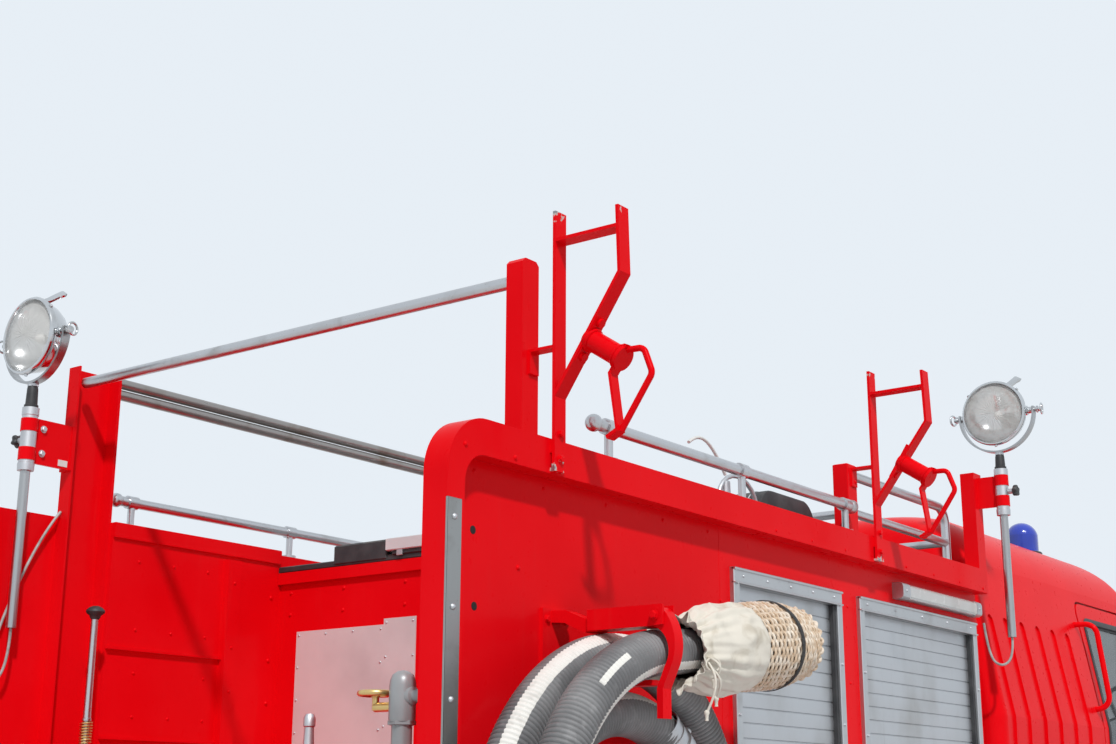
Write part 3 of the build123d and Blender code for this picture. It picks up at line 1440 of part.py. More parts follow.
jaw_top_z = arm_low_z + 50
with BuildPart() as hose_jaw:
    with BuildSketch(Plane.XZ.offset(-rack_y - rack_half + 2)):
        with BuildLine():
            Line((-jaw_pin_x + 22, jaw_top_z), (-jaw_pin_x - 14, jaw_top_z))
            ThreePointArc(
                (-jaw_pin_x - 14, jaw_top_z),
                (-jaw_in_x - 30, jaw_top_z - 70),
                (-jaw_in_x - 20, jaw_top_z - 150),
            )
            Line((-jaw_in_x - 20, jaw_top_z - 150), (-jaw_in_x + 6, jaw_top_z - 205))
            Line((-jaw_in_x + 6, jaw_top_z - 205), (-jaw_in_x + 6, jaw_top_z - 280))
            Line((-jaw_in_x + 6, jaw_top_z - 280), (-jaw_in_x + 24, jaw_top_z - 280))
            Line((-jaw_in_x + 24, jaw_top_z - 280), (-jaw_in_x + 24, jaw_top_z - 205))
            Line((-jaw_in_x + 24, jaw_top_z - 205), (-jaw_in_x, jaw_top_z - 150))
            ThreePointArc(
                (-jaw_in_x, jaw_top_z - 150),
                (-jaw_in_x - 9, jaw_top_z - 88),
                (-jaw_pin_x + 22, jaw_top_z - 44),
            )
            Line((-jaw_pin_x + 22, jaw_top_z - 44), (-jaw_pin_x + 22, jaw_top_z))
        make_face()
    extrude(amount=2 * rack_half - 4)
    with Locations(Location((-jaw_pin_x, rack_y, jaw_pin_z), (90, 0, 0))):
        Cylinder(8 + running_gap, 3 * rack_half, mode=Mode.SUBTRACT)
finish(hose_jaw.part, "hose_jaw")

# Tail lamps on the rear wall of the body
with BuildPart() as tail_lamps:
    for side in (-1, 1):
        slab(side * 760, side * 990, body_rear_y, body_rear_y + 48, 700, 800)
    fillet(tail_lamps.edges().filter_by(Axis.Y), 16)
finish(tail_lamps.part, "tail_lamps")
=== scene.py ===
import math
import random

import bmesh
import bpy
from mathutils import Matrix, Vector, noise
from mathutils.bvhtree import BVHTree


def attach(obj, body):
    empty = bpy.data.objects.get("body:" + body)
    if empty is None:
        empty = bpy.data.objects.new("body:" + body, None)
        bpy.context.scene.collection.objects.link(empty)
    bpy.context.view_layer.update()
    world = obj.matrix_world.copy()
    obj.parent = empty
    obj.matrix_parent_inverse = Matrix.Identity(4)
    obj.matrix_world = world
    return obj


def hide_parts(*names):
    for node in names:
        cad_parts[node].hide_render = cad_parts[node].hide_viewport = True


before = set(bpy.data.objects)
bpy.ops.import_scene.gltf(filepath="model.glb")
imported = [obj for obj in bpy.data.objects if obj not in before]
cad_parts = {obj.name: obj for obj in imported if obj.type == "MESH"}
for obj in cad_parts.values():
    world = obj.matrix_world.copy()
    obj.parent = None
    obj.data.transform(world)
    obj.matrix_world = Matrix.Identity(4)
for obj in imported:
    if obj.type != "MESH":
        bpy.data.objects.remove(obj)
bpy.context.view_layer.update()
print("frame loaded:", len(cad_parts), "nodes")
finishOf = {}


class Signal:  # one socket, so that masks and mixes are written as sums
    def __init__(self, finish, socket):
        self.finish = finish
        self.socket = socket

    def maths(self, operation, *values):
        return self.finish.node("Math", {"operation": operation}, dict(enumerate(values)))

    def __add__(self, other):
        return self.maths("ADD", self, other)

    def __radd__(self, other):
        return self.maths("ADD", other, self)

    def __sub__(self, other):
        return self.maths("SUBTRACT", self, other)

    def __rsub__(self, other):
        return self.maths("SUBTRACT", other, self)

    def __mul__(self, other):
        return self.maths("MULTIPLY", self, other)

    def __rmul__(self, other):
        return self.maths("MULTIPLY", other, self)

    def __abs__(self):
        return self.maths("ABSOLUTE", self)


class Finish:  # one material while it is being made
    def __init__(self, name):
        self.material = finishOf[name] = bpy.data.materials.new(name)
        self.material.use_nodes = True
        self.tree = self.material.node_tree
        self.tree.nodes.clear()
        self.place = self.node("TexCoord", {}, {}, "Object")

    def node(self, kind, settings, sockets, result=0):
        made = self.tree.nodes.new("ShaderNode" + kind)
        for key, value in settings.items():
            setattr(made, key, value)
        for key, value in sockets.items():
            socket = made.inputs[key]
            if isinstance(value, Signal):
                self.tree.links.new(value.socket, socket)
            else:
                socket.default_value = (*value, 1.0) if socket.type == "RGBA" else value
        return Signal(self, made.outputs[result]) if made.outputs else None

    def noise(self, scale, detail=3.0, stretch=None, warp=0.0):
        place = self.place
        if stretch:
            place = self.node("Mapping", {}, {"Vector": place, "Scale": stretch})
        sockets = {"Vector": place, "Scale": scale, "Detail": detail, "Distortion": warp}
        return self.node("TexNoise", {}, sockets, "Fac")

    def fade(self, value, low, high):  # 0 below low, 1 above high, smooth between
        sockets = {"Value": value, "From Min": low, "From Max": high}
        return self.node("MapRange", {"interpolation_type": "SMOOTHSTEP"}, sockets)

    def wave(self, direction, **sockets):
        return self.node("TexWave", {"bands_direction": direction}, {"Vector": self.place, **sockets}, "Fac")

    def mix(self, share, first, second):
        return self.node("Mix", {"data_type": "RGBA"}, {0: share, 6: first, 7: second}, 2)

    def axis(self, name, place=None):
        return self.node("SeparateXYZ", {}, {"Vector": place or self.place}, name)

    def upward(self):  # 1 on faces that look up
        return self.fade(self.axis("Z", self.node("NewGeometry", {}, {}, "Normal")), 0.55, 0.95)

    def bump(self, height, strength, distance):
        return self.node("Bump", {}, {"Height": height, "Strength": strength, "Distance": distance})

    def done(self, **sockets):
        sockets = {key.replace("_", " "): value for key, value in sockets.items()}
        self.node("OutputMaterial", {}, {"Surface": self.node("BsdfPrincipled", {}, sockets)})


paintSettings = {
    "red": (0.75, 0.0012, 0.0050),
    "faded": (0.79, 0.0035, 0.0080),
    "dust": (0.56, 0.085, 0.075),
    "metal": (0.33, 0.33, 0.34),
    "primer": (0.55, 0.50, 0.47),
}


def redPaint(name, chips=None):  # gloss red with faint dust, chipped above one height and below another
    made = Finish(name)
    tone = made.noise(2.2, 4.0)
    dust = made.fade(made.noise(14.0, 6.0, None, 0.6), 0.52, 0.80)
    streak = made.fade(made.noise(6.0, 5.0, (7.0, 7.0, 0.55)), 0.56, 0.84)
    soil = made.upward() * 0.28 * dust + streak * 0.05
    base = made.mix(made.fade(tone, 0.35, 0.7), paintSettings["red"], paintSettings["faded"])
    base = made.mix(soil, base, paintSettings["dust"])
    rough = 0.24 + 0.16 * soil + 0.10 * made.noise(40.0, 4.0)
    metal = 0.0
    peel = made.noise(160.0, 2.0)
    if chips:
        height = made.axis("Z")
        flakes = made.noise(38.0, 8.0, None, 0.4)
        reach = made.fade(height, *chips["above"])
        reach = reach.maths("MAXIMUM", reach, 1.0 - made.fade(height, *chips["below"]))
        worn = made.fade(flakes + reach * 0.42, 0.86, 0.92)
        bright = made.fade(flakes + reach * 0.42, 0.92, 0.98)
        base = made.mix(bright, made.mix(worn, base, paintSettings["primer"]), paintSettings["metal"])
        metal = bright * 0.8
        rough = rough + worn * 0.18
        peel = peel * 0.4 - worn * 1.5
    made.done(
        Base_Color=base,
        Roughness=rough,
        Metallic=metal,
        Specular_IOR_Level=0.035,
        Coat_Weight=0.03,
        Coat_Roughness=0.10,
        Normal=made.bump(peel, 0.05, 0.0004),
    )


def barePolish(name, tint, roughness, grain, stain, brownZone=None):  # bright metal with marks and stains
    made = Finish(name)
    lines = made.noise(90.0, 4.0, grain)
    marks = made.fade(made.noise(7.0, 6.0, None, 0.8), 0.5, 0.8)
    spots = made.fade(made.noise(130.0, 2.0), 0.66, 0.74)
    base = made.mix(marks * 0.5 + spots * 0.35, tint, stain)
    if brownZone:  # weathered tubes above a height on one side
        above, beside = (made.fade(made.axis(axis), edge, edge + 0.004) for axis, edge in brownZone.items())
        base = made.mix(above * beside * (0.65 + 0.35 * marks), base, (0.235, 0.190, 0.155))
    made.done(
        Base_Color=base,
        Metallic=1.0,
        Roughness=roughness + 0.16 * marks + 0.10 * lines + 0.15 * spots,
        Normal=made.bump(lines, 0.12, 0.0003),
    )


def castSkin(name, tint, dark, metallic, roughness, scale):  # moulded, cast or powder-coated skin
    made = Finish(name)
    blotch = made.fade(made.noise(scale * 0.06, 5.0), 0.35, 0.75)
    grit = made.noise(scale, 4.0)
    base = made.mix(blotch, tint, dark)
    base = made.mix(made.upward() * 0.3 * blotch, base, (0.32, 0.28, 0.24))
    made.done(
        Base_Color=base,
        Metallic=metallic,
        Roughness=roughness + 0.14 * grit,
        Normal=made.bump(grit, 0.22, 0.0008),
    )


def plainColour(name, tint, dark, roughness, scale=30.0, metallic=0.0):
    made = Finish(name)
    patch = made.fade(made.noise(scale, 5.0), 0.35, 0.75)
    made.done(
        Base_Color=made.mix(patch, tint, dark),
        Metallic=metallic,
        Roughness=roughness + 0.12 * patch,
        Normal=made.bump(made.noise(scale * 8, 2.0), 0.12, 0.0004),
    )


def shutterAlloy():
    made = Finish("shutterAlloy")
    drawn = made.noise(70.0, 5.0, (1.0, 0.05, 5.0))
    film = made.fade(made.noise(3.2, 6.0, (1.0, 1.2, 0.8)), 0.42, 0.78)
    runs = made.fade(made.noise(9.0, 5.0, (1.0, 6.0, 0.3)), 0.6, 0.86)
    made.done(
        Base_Color=made.mix(film * 0.6 + runs * 0.4, (0.52, 0.535, 0.555), (0.34, 0.335, 0.32)),
        Metallic=0.86,
        Roughness=0.36 + 0.12 * film + 0.08 * drawn,
        Normal=made.bump(drawn, 0.10, 0.0003),
    )


def treadPlate():
    made = Finish("treadPlate")
    spin = made.node("Mapping", {}, {"Vector": made.place, "Rotation": (0.0, 0.0, math.radians(45))})
    sockets = {"Vector": spin, "Scale": 42.0, "Mortar Size": 0.34, "Mortar Smooth": 0.4}
    bars = made.node("TexBrick", {"offset": 0.5}, sockets, "Fac")
    grime = made.fade(made.noise(1.6, 9.0, None, 0.4), 0.42, 0.80)
    made.done(
        Base_Color=made.mix(grime * 0.8, (0.40, 0.40, 0.40), (0.19, 0.18, 0.17)),
        Metallic=0.85,
        Roughness=0.34 + 0.25 * grime,
        Normal=made.bump(1.0 - bars, 0.6, 0.0022),
    )


def cabGlass():
    made = Finish("cabGlass")
    smear = made.fade(made.noise(4.0, 5.0, (1.0, 1.0, 2.5)), 0.5, 0.8)
    rough = 0.03 + 0.07 * smear
    made.done(Base_Color=(0.055, 0.070, 0.075), Roughness=rough, Alpha=0.62 + 0.10 * smear, Coat_Weight=0.5)


# lamp glass given a warm near-white base and part opacity: painted reflection; the film noise adds smears
def glassWithPaintedReflection(name, tint, alpha):
    made = Finish(name)
    film = made.fade(made.noise(22.0, 4.0), 0.55, 0.8)
    made.done(Base_Color=tint, Roughness=0.04 + 0.10 * film, Alpha=alpha + 0.12 * film, Coat_Weight=0.4)


def lensColour(name, tint, deep):
    made = Finish(name)
    flutes = made.wave("X", Scale=42.0, Distortion=0.0)
    made.done(
        Base_Color=made.mix(made.noise(12.0, 3.0), tint, deep),
        Roughness=0.10 + 0.10 * made.noise(60.0),
        Coat_Weight=0.6,
        Normal=made.bump(flutes, 0.25, 0.0008),
    )


def rubberHose(name, centre, width, label=None):  # ribbed hose; UV: x round the hose, y metres along it
    made = Finish(name)
    around = made.node("TexCoord", {}, {}, "UV")
    turn = made.axis("X", around)
    ragged = made.noise(60.0, 3.0) * 0.012
    offset = abs((turn - centre) + ragged - 0.006)
    offset = offset.maths("MINIMUM", offset, 1.0 - offset)
    stripe = 1.0 - made.fade(offset, width / 2 - 0.004, width / 2)
    if label:  # bare white band near the jaw
        along = made.axis("Y", around)
        half, start, end = label["width"] / 2, label["start"], label["end"]
        across = 1.0 - made.fade(abs(turn - label["turn"]), half - 0.003, half)
        within = made.fade(along, start, start + 0.003) - made.fade(along, end - 0.003, end)
        stripe = stripe.maths("MAXIMUM", stripe, across * within)
    scuff = made.fade(made.noise(26.0, 7.0, None, 0.5), 0.52, 0.74)
    dust = made.fade(made.noise(4.5, 5.0), 0.35, 0.8)
    body = made.mix(dust * 0.55 + scuff * 0.25, (0.125, 0.126, 0.130), (0.42, 0.42, 0.425))
    white = made.mix(scuff * 0.4 + dust * 0.15, (0.80, 0.79, 0.75), (0.46, 0.44, 0.41))
    made.done(
        Base_Color=made.mix(stripe, body, white),
        Roughness=0.52 + 0.18 * dust,
        Normal=made.bump(made.noise(240.0, 3.0), 0.25, 0.0005),
    )


def canvasCloth():
    made = Finish("canvasCloth")
    warp, weft = (made.wave(way, Scale=260.0, Distortion=1.5, Detail=2.0) for way in "YZ")
    soil = made.fade(made.noise(17.0, 6.0, None, 0.7), 0.48, 0.78)
    base = made.mix(soil * 0.75, (0.80, 0.76, 0.67), (0.50, 0.44, 0.34))
    base = made.mix(made.noise(3.5, 3.0) * 0.25, base, (0.62, 0.58, 0.50))
    made.done(
        Base_Color=base,
        Roughness=0.88 + 0.08 * soil,
        Normal=made.bump(warp * weft + made.noise(34.0, 4.0) * 0.9, 0.5, 0.0010),
    )


def wicker():
    made = Finish("wicker")
    grain = made.noise(30.0, 6.0, (5.0, 5.0, 5.0), 0.3)
    patch = made.fade(made.noise(38.0, 3.0), 0.38, 0.66)
    base = made.mix(patch, (0.62, 0.47, 0.33), (0.80, 0.71, 0.60))
    base = made.mix(made.fade(grain, 0.56, 0.8) * 0.6, base, (0.36, 0.23, 0.11))
    made.done(Base_Color=base, Roughness=0.55 + 0.2 * grain, Normal=made.bump(grain, 0.35, 0.0006))


def tyreRubber():
    made = Finish("tyreRubber")
    dust = made.fade(made.noise(6.0, 6.0), 0.35, 0.8)
    made.done(
        Base_Color=made.mix(dust * 0.7, (0.018, 0.018, 0.019), (0.085, 0.078, 0.070)),
        Roughness=0.68 + 0.15 * dust,
        Normal=made.bump(made.noise(180.0, 3.0), 0.3, 0.0006),
    )


redPaint("redPaint")
redPaint("bracketPaint", {"above": (3.02, 3.16), "below": (2.36, 2.52)})
castSkin("blackChassis", (0.022, 0.022, 0.023), (0.060, 0.055, 0.050), 0.0, 0.46, 90.0)
castSkin("castGrey", (0.16, 0.165, 0.17), (0.10, 0.10, 0.10), 0.55, 0.5, 120.0)
castSkin("wheelPaint", (0.60, 0.60, 0.58), (0.44, 0.42, 0.38), 0.1, 0.36, 70.0)
castSkin("bumperPaint", (0.74, 0.74, 0.71), (0.60, 0.58, 0.54), 0.0, 0.30, 60.0)
castSkin("darkPlastic", (0.020, 0.020, 0.022), (0.045, 0.045, 0.047), 0.0, 0.48, 240.0)
castSkin("seatVinyl", (0.035, 0.035, 0.038), (0.060, 0.058, 0.058), 0.0, 0.5, 380.0)
castSkin("pipeGrey", (0.34, 0.355, 0.365), (0.22, 0.225, 0.23), 0.25, 0.34, 60.0)
castSkin("dullPlate", (0.72, 0.700, 0.705), (0.58, 0.560, 0.565), 0.24, 0.50, 50.0)
alongY, alongZ, plain = (1.0, 0.06, 1.0), (1.0, 1.0, 0.06), (1.0, 1.0, 1.0)  # stretch of the grain
barePolish("tubeSteel", (0.56, 0.565, 0.58), 0.24, alongY, (0.30, 0.28, 0.26), {"Z": 2.925, "X": 0.960})
barePolish("sheetSteel", (0.60, 0.61, 0.62), 0.34, (0.08, 1.0, 1.0), (0.42, 0.42, 0.41))
barePolish("lampChrome", (0.62, 0.63, 0.64), 0.08, plain, (0.36, 0.355, 0.34))
barePolish("poleSteel", (0.44, 0.445, 0.45), 0.24, alongZ, (0.27, 0.265, 0.26))
barePolish("brass", (0.72, 0.52, 0.22), 0.26, plain, (0.34, 0.22, 0.10))
barePolish("darkSteel", (0.34, 0.345, 0.34), 0.30, alongZ, (0.22, 0.22, 0.21))
barePolish("frameAlloy", (0.52, 0.53, 0.54), 0.38, (1.0, 1.0, 0.08), (0.34, 0.34, 0.34))
barePolish("castAlloy", (0.56, 0.57, 0.59), 0.42, plain, (0.34, 0.34, 0.34))
shutterAlloy()
treadPlate()
cabGlass()
# warm near-white, part-opaque lamp glass: painted reflection on the lenses
glassWithPaintedReflection("lampGlass", (0.93, 0.92, 0.88), 0.38)
lensColour("blueLens", (0.010, 0.050, 0.55), (0.004, 0.020, 0.30))
lensColour("redLens", (0.46, 0.008, 0.010), (0.25, 0.004, 0.006))
lensColour("amberLens", (0.75, 0.22, 0.01), (0.50, 0.12, 0.005))
rubberHose("innerHose", 0.165, 0.120)
rubberHose("outerHose", 0.885, 0.080, {"turn": 0.10, "width": 0.05, "start": 2.20, "end": 2.335})
canvasCloth()
wicker()
tyreRubber()
plainColour("cableSkin", (0.42, 0.42, 0.41), (0.22, 0.21, 0.20), 0.45)
plainColour("whitePlate", (0.74, 0.74, 0.72), (0.64, 0.63, 0.61), 0.45, 5.0)
plainColour("blackRope", (0.018, 0.018, 0.019), (0.060, 0.058, 0.055), 0.75, 120.0)
plainColour("mirrorFace", (0.78, 0.79, 0.80), (0.70, 0.71, 0.72), 0.02, 4.0, 1.0)
# near-black finish: painted shade, used inside the strainer basket and in the drain holes
plainColour("paintedShadeBlack", (0.008, 0.008, 0.009), (0.014, 0.013, 0.012), 0.85)
print("finishes made")

nodesOfFinish = {
    "redPaint": "body_base body_sides cab_handles_and_hinges cab_roof cab_shell door_left door_right"
                " gantry_posts hose_jaw hose_rack pump_recess",
    "bracketPaint": "ladder_brackets",
    "blackChassis": "chassis_frame front_axle knuckle_left knuckle_right leaf_springs rear_axle"
                    " tank_and_exhaust tie_rod",
    "castGrey": "powertrain",
    "wheelPaint": "rim_front_left rim_front_right rims_rear_left rims_rear_right",
    "bumperPaint": "front_bumper",
    "darkPlastic": "dashboard grille mirrors rear_mudguards roof_gear",
    "seatVinyl": "seats",
    "tubeSteel": "roof_rails",
    "sheetSteel": "area_lights corner_strips recess_fittings",
    "lampChrome": "headlamps searchlight_front_head searchlight_rear_head",
    "poleSteel": "searchlight_front_pole searchlight_rear_pole",
    "brass": "valve_wheel",
    "dullPlate": "recess_panel",
    "shutterAlloy": "shutters",
    "treadPlate": "rear_step roof_deck",
    "cabGlass": "glass_door_left glass_door_right windscreen",
    "blueLens": "beacons",
    "redLens": "tail_lamps",
    "innerHose": "suction_hoses",
    "canvasCloth": "strainer_collar",
    "wicker": "strainer_basket",
    "tyreRubber": "tyre_front_left tyre_front_right tyres_rear_left tyres_rear_right",
    "cableSkin": "cable_front cable_rear",
}
for finishName, nodeNames in nodesOfFinish.items():
    for nodeName in nodeNames.split():
        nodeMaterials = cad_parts[nodeName].data.materials
        nodeMaterials.clear()
        nodeMaterials.append(finishOf[finishName])
print("node finishes set")


bothSides = ((1, "left"), (-1, "right"))
ahead, aft, up = (0, -1, 0), (0, 1, 0), (0, 0, 1)


def turns(count):  # angles once round
    return [2 * math.pi * number / count for number in range(count)]


def spread(low, high, count):  # evenly spaced values from low to high
    return [low + (high - low) * number / (count - 1) for number in range(count)]


def squareTo(axis):  # the axis with two directions square to it
    axis = Vector(axis).normalized()
    across = axis.orthogonal().normalized()
    return axis, across, axis.cross(across)


def placed(name, data):  # a new object in the scene
    made = bpy.data.objects.new(name, data)
    bpy.context.scene.collection.objects.link(made)
    return made


def mounted(made, body="truck", replaced=()):
    if replaced:
        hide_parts(*replaced)
    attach(made, body)
    return made


class Forge:  # gathers the points and faces of one piece
    def __init__(self):
        self.points = []
        self.faces = []
        self.marks = []
        self.mapped = {}

    def face(self, corners, mark):
        self.faces.append(tuple(corners))
        self.marks.append(mark)

    def rings(self, rings, mark=0, caps=(True, True), loop=False):  # a closed loop of rings has no caps
        start = len(self.points)
        count = len(rings[0])
        for ring in rings:
            self.points.extend(ring)
        for row in range(len(rings) if loop else len(rings) - 1):
            first = start + row * count
            second = start + (row + 1) % len(rings) * count
            for spot in range(count):
                beside = (spot + 1) % count
                self.face((first + spot, first + beside, second + beside, second + spot), mark)
        if caps[0] and not loop:
            self.face([start + spot for spot in reversed(range(count))], mark)
        if caps[1] and not loop:
            last = start + (len(rings) - 1) * count
            self.face([last + spot for spot in range(count)], mark)

    def lathe(self, origin, axis, profile, sides=24, mark=0, caps=(True, True), lobes=0.0):
        axis, across, beyond = squareTo(axis)
        rings = []
        for along, radius in profile:
            ring = []
            for turn in turns(sides):
                reach = radius * (1 + lobes * math.cos(5 * turn))
                way = across * math.cos(turn) + beyond * math.sin(turn)
                ring.append(Vector(origin) + axis * along + way * reach)
            rings.append(ring)
        self.rings(rings, mark, caps)

    def tube(self, path, radius, sides=8, mark=0, loop=False):
        path = [Vector(point) for point in path]
        count = len(path)
        across = None
        rings = []
        for spot, point in enumerate(path):
            before = path[(spot - 1) % count] if (loop or spot) else point
            after = path[(spot + 1) % count] if (loop or spot < count - 1) else point
            ahead = (after - before).normalized()
            if across is None:
                across = ahead.orthogonal().normalized()
            across = (across - ahead * across.dot(ahead)).normalized()
            beyond = ahead.cross(across)
            ring = [across * math.cos(turn) + beyond * math.sin(turn) for turn in turns(sides)]
            rings.append([point + way * radius for way in ring])
        self.rings(rings, mark, loop=loop)

    def block(self, corner, opposite, mark=0, chamfer=0.0):
        low, high = (Vector(ends) for ends in zip(*map(sorted, zip(corner, opposite))))
        cut = chamfer * 0.7
        rings = []
        levels = ((low.z, chamfer), (low.z + chamfer, 0), (high.z - chamfer, 0), (high.z, chamfer))
        for height, inset in levels:
            x0, x1, y0, y1 = low.x + inset, high.x - inset, low.y + inset, high.y - inset
            rings.append([Vector((x, y, height)) for x, y in (
                (x0 + cut, y0), (x1 - cut, y0), (x1, y0 + cut), (x1, y1 - cut),
                (x1 - cut, y1), (x0 + cut, y1), (x0, y1 - cut), (x0, y0 + cut))])
        self.rings(rings, mark)

    def prism(self, side, section, ends, mark=0):  # a section (x, z) run along y, mirrored where side is -1
        self.rings([[Vector((side * x, y, z)) for x, z in section] for y in ends[::side]], mark)

    def rivet(self, spot, normal, radius, mark=0):
        dome = ((0, 1), (0.35, 0.92), (0.7, 0.55))
        profile = [(radius * along, radius * share) for along, share in dome]
        self.lathe(spot, normal, profile + [(radius * 0.8, 0.0006)], 10, mark)

    def bolt(self, spot, normal, size, mark=0):  # hexagon head on a washer
        self.lathe(spot, normal, [(0, size * 1.25), (size * 0.2, size * 1.25), (size * 0.22, size)], 16, mark)
        self.lathe(spot, normal, [(size * 0.2, size), (size * 0.85, size), (size, size * 0.82)], 6, mark)

    def piece(self, name, slotName, finishes, sharp=40, body="truck", replaced=()):
        mesh = bpy.data.meshes.new(name)
        mesh.from_pydata([tuple(point) for point in self.points], [], self.faces)
        mesh.polygons.foreach_set("material_index", self.marks)
        for finish in finishes:
            mesh.materials.append(finishOf[finish])
        mesh.shade_smooth()
        mesh.set_sharp_from_angle(angle=math.radians(sharp))
        if self.mapped:
            layer = mesh.uv_layers.new(name="map")
            for polygon in mesh.polygons:  # the last column of faces runs on to 1 instead of back to 0
                places = [self.mapped.get(vertex, (0, 0)) for vertex in polygon.vertices]
                wraps = max(place[0] for place in places) - min(place[0] for place in places) > 0.5
                for index, place in zip(polygon.loop_indices, places):
                    layer.data[index].uv = (place[0] + 1 if wraps and place[0] < 0.5 else place[0], place[1])
        mesh.validate()
        return mounted(placed(name, mesh), body, replaced)


# Suction hoses: ribbed tubes on the route of the CAD solids
hoseSettings = {
    "radius": 0.0605, "ribDepth": 0.0046, "pitch": 0.0128, "sides": 28, "ribShape": (0.0, 0.72, 1.0, 0.72),
}
coil = {"y": 2.340, "z": 1.350, "innerX": -1.185, "outerX": -1.345, "radius": 0.560, "leanDeg": 6.5}


def hoseLine(startDeg, arcs, lead, step):  # points in the coil's plane with the outward direction of each
    centre = Vector((coil["y"], coil["z"]))
    angle = math.radians(startDeg)
    line = []
    for number, (radius, sweepDeg) in enumerate(arcs):
        sweep = math.radians(sweepDeg)
        if number:
            centre = line[-1][0] - Vector((math.cos(angle), math.sin(angle))) * radius
        count = max(2, round(radius * sweep / step))
        for spot in range(1 if number else 0, count + 1):
            turn = angle + sweep * spot / count
            outward = Vector((math.cos(turn), math.sin(turn)))
            line.append((centre + outward * radius, outward))
        angle += sweep
    last, outward = line[-1]
    ahead = Vector((-outward.y, outward.x))
    return line + [(last + ahead * step * spot, outward) for spot in range(1, round(lead / step) + 1)]


def ribbedHose(name, x, startDeg, arcs, lead, finish):
    ribShape, sides = hoseSettings["ribShape"], hoseSettings["sides"]
    step = hoseSettings["pitch"] / len(ribShape)
    forge = Forge()
    rings = []
    for spot, (point, outward) in enumerate(hoseLine(startDeg, arcs, lead, step)):
        radius = hoseSettings["radius"] - hoseSettings["ribDepth"] * (1 - ribShape[spot % len(ribShape)])
        ring = []
        for side, turn in enumerate(turns(sides)):
            away = point + outward * (math.sin(turn) * radius)
            forge.mapped[spot * sides + side] = (side / sides, spot * step)
            ring.append(Vector((x - math.cos(turn) * radius, away.x, away.y)))
        rings.append(ring)
    forge.rings(rings)
    forge.piece(name, "hose_rubber", [finish], 60, replaced=["suction_hoses"])
    return rings


innerArcs = [(coil["radius"], 230), (0.488, 180), (0.412, 200)]
outerArcs = [(coil["radius"], 90 - coil["leanDeg"] + 175)]
innerRings = ribbedHose("hose_inner_ribbed", coil["innerX"], -120, innerArcs, 0, "innerHose")
outerRings = ribbedHose("hose_outer_ribbed", coil["outerX"], -175, outerArcs, 0.640, "outerHose")

# Couplings on the free hose ends
couplings = Forge()
for rings in (innerRings, innerRings[::-1], outerRings):
    middle, deeper = (sum(ring, Vector()) / len(ring) for ring in (rings[0], rings[3]))
    away, around, _ = squareTo(middle - deeper)
    couplings.lathe(middle - away * 0.115, away, [
        (0.0, 0.0608), (0.0, 0.0640), (0.016, 0.0640), (0.018, 0.0612), (0.040, 0.0612), (0.042, 0.0640),
        (0.058, 0.0640), (0.060, 0.0612), (0.075, 0.0620), (0.080, 0.0680), (0.112, 0.0680),
        (0.116, 0.0640), (0.128, 0.0640), (0.128, 0.0500), (0.100, 0.0480),
    ], 36, 0, (False, True))
    for turn in turns(3):
        lugWay = Matrix.Rotation(turn, 3, away) @ around
        lugProfile = [(0, 0.012), (0.014, 0.012), (0.017, 0.009)]
        couplings.lathe(middle - away * 0.02 + lugWay * 0.060, lugWay, lugProfile, 12)
couplings.piece("hose_couplings", "hose_rubber", ["castAlloy"])
print("hoses made")

# Strainer: the axis runs on from the outer hose
lean = math.radians(coil["leanDeg"])
strainerStart = Vector((
    coil["outerX"], coil["y"] + coil["radius"] * math.sin(lean), coil["z"] + coil["radius"] * math.cos(lean),
))
strainerAhead = Vector((0, -math.cos(lean), math.sin(lean)))
strainerOut = Vector((-1, 0, 0))
strainerUp = strainerOut.cross(strainerAhead)
basket = {
    "stakes": 34, "rows": 34, "segments": 136, "start": 0.358, "end": 0.725, "cane": 0.0048, "weave": 0.0040,
    "radius": 0.1135, "barrel": 0.0060, "narrowing": 0.014, "stakeRadius": 0.0036, "endCane": 0.0052,
    "endRings": 9, "plaits": 24,
}


def onStrainer(along, turn, radius):
    way = strainerOut * math.cos(turn) + strainerUp * math.sin(turn)
    return strainerStart + strainerAhead * along + way * radius


def basketRadius(along):  # slightly barrelled, narrowing at the tip
    share = (along - basket["start"]) / (basket["end"] - basket["start"])
    barrel = basket["barrel"] * math.sin(math.pi * min(1.0, share * 1.15))
    return basket["radius"] + barrel - basket["narrowing"] * max(0.0, share - 0.72) / 0.28


weave = Forge()
tip, mouth = basket["end"], basketRadius(basket["end"])
for row in range(basket["rows"]):
    along = basket["start"] + (tip - basket["start"]) * (row + 0.5) / basket["rows"]
    path = []
    for turn in turns(basket["segments"]):
        wave = math.cos(turn * basket["stakes"] / 2 + math.pi * row)
        drift = 0.0012 * math.sin(3 * turn + row * 1.7)
        path.append(onStrainer(along + drift, turn, basketRadius(along) + basket["weave"] * wave))
    weave.tube(path, basket["cane"], 6, 0, True)
for stake in range(basket["stakes"]):
    turn = 2 * math.pi * (stake + 0.5) / basket["stakes"]
    path = [(along, basketRadius(along)) for along in spread(basket["start"], tip, 17)]
    path += [(tip + 0.006, mouth * 0.86), (tip + 0.008, mouth * 0.4)]
    weave.tube([onStrainer(along, turn, radius) for along, radius in path], basket["stakeRadius"], 6)
for number in range(basket["endRings"]):  # woven end
    rise, radius = tip + 0.008 - 0.0006 * number, 0.012 + 0.0105 * number
    path = []
    for turn in turns(72):
        path.append(onStrainer(rise + 0.003 * math.cos(turn * 9 + math.pi * number), turn, radius))
    weave.tube(path, basket["endCane"], 6, 0, True)
path = []
for turn in turns(240):  # plaited rim where the basket meets the end
    plait = turn * basket["plaits"]
    path.append(onStrainer(tip + 0.004 * math.sin(plait), turn, mouth + 0.004 + 0.004 * math.cos(plait)))
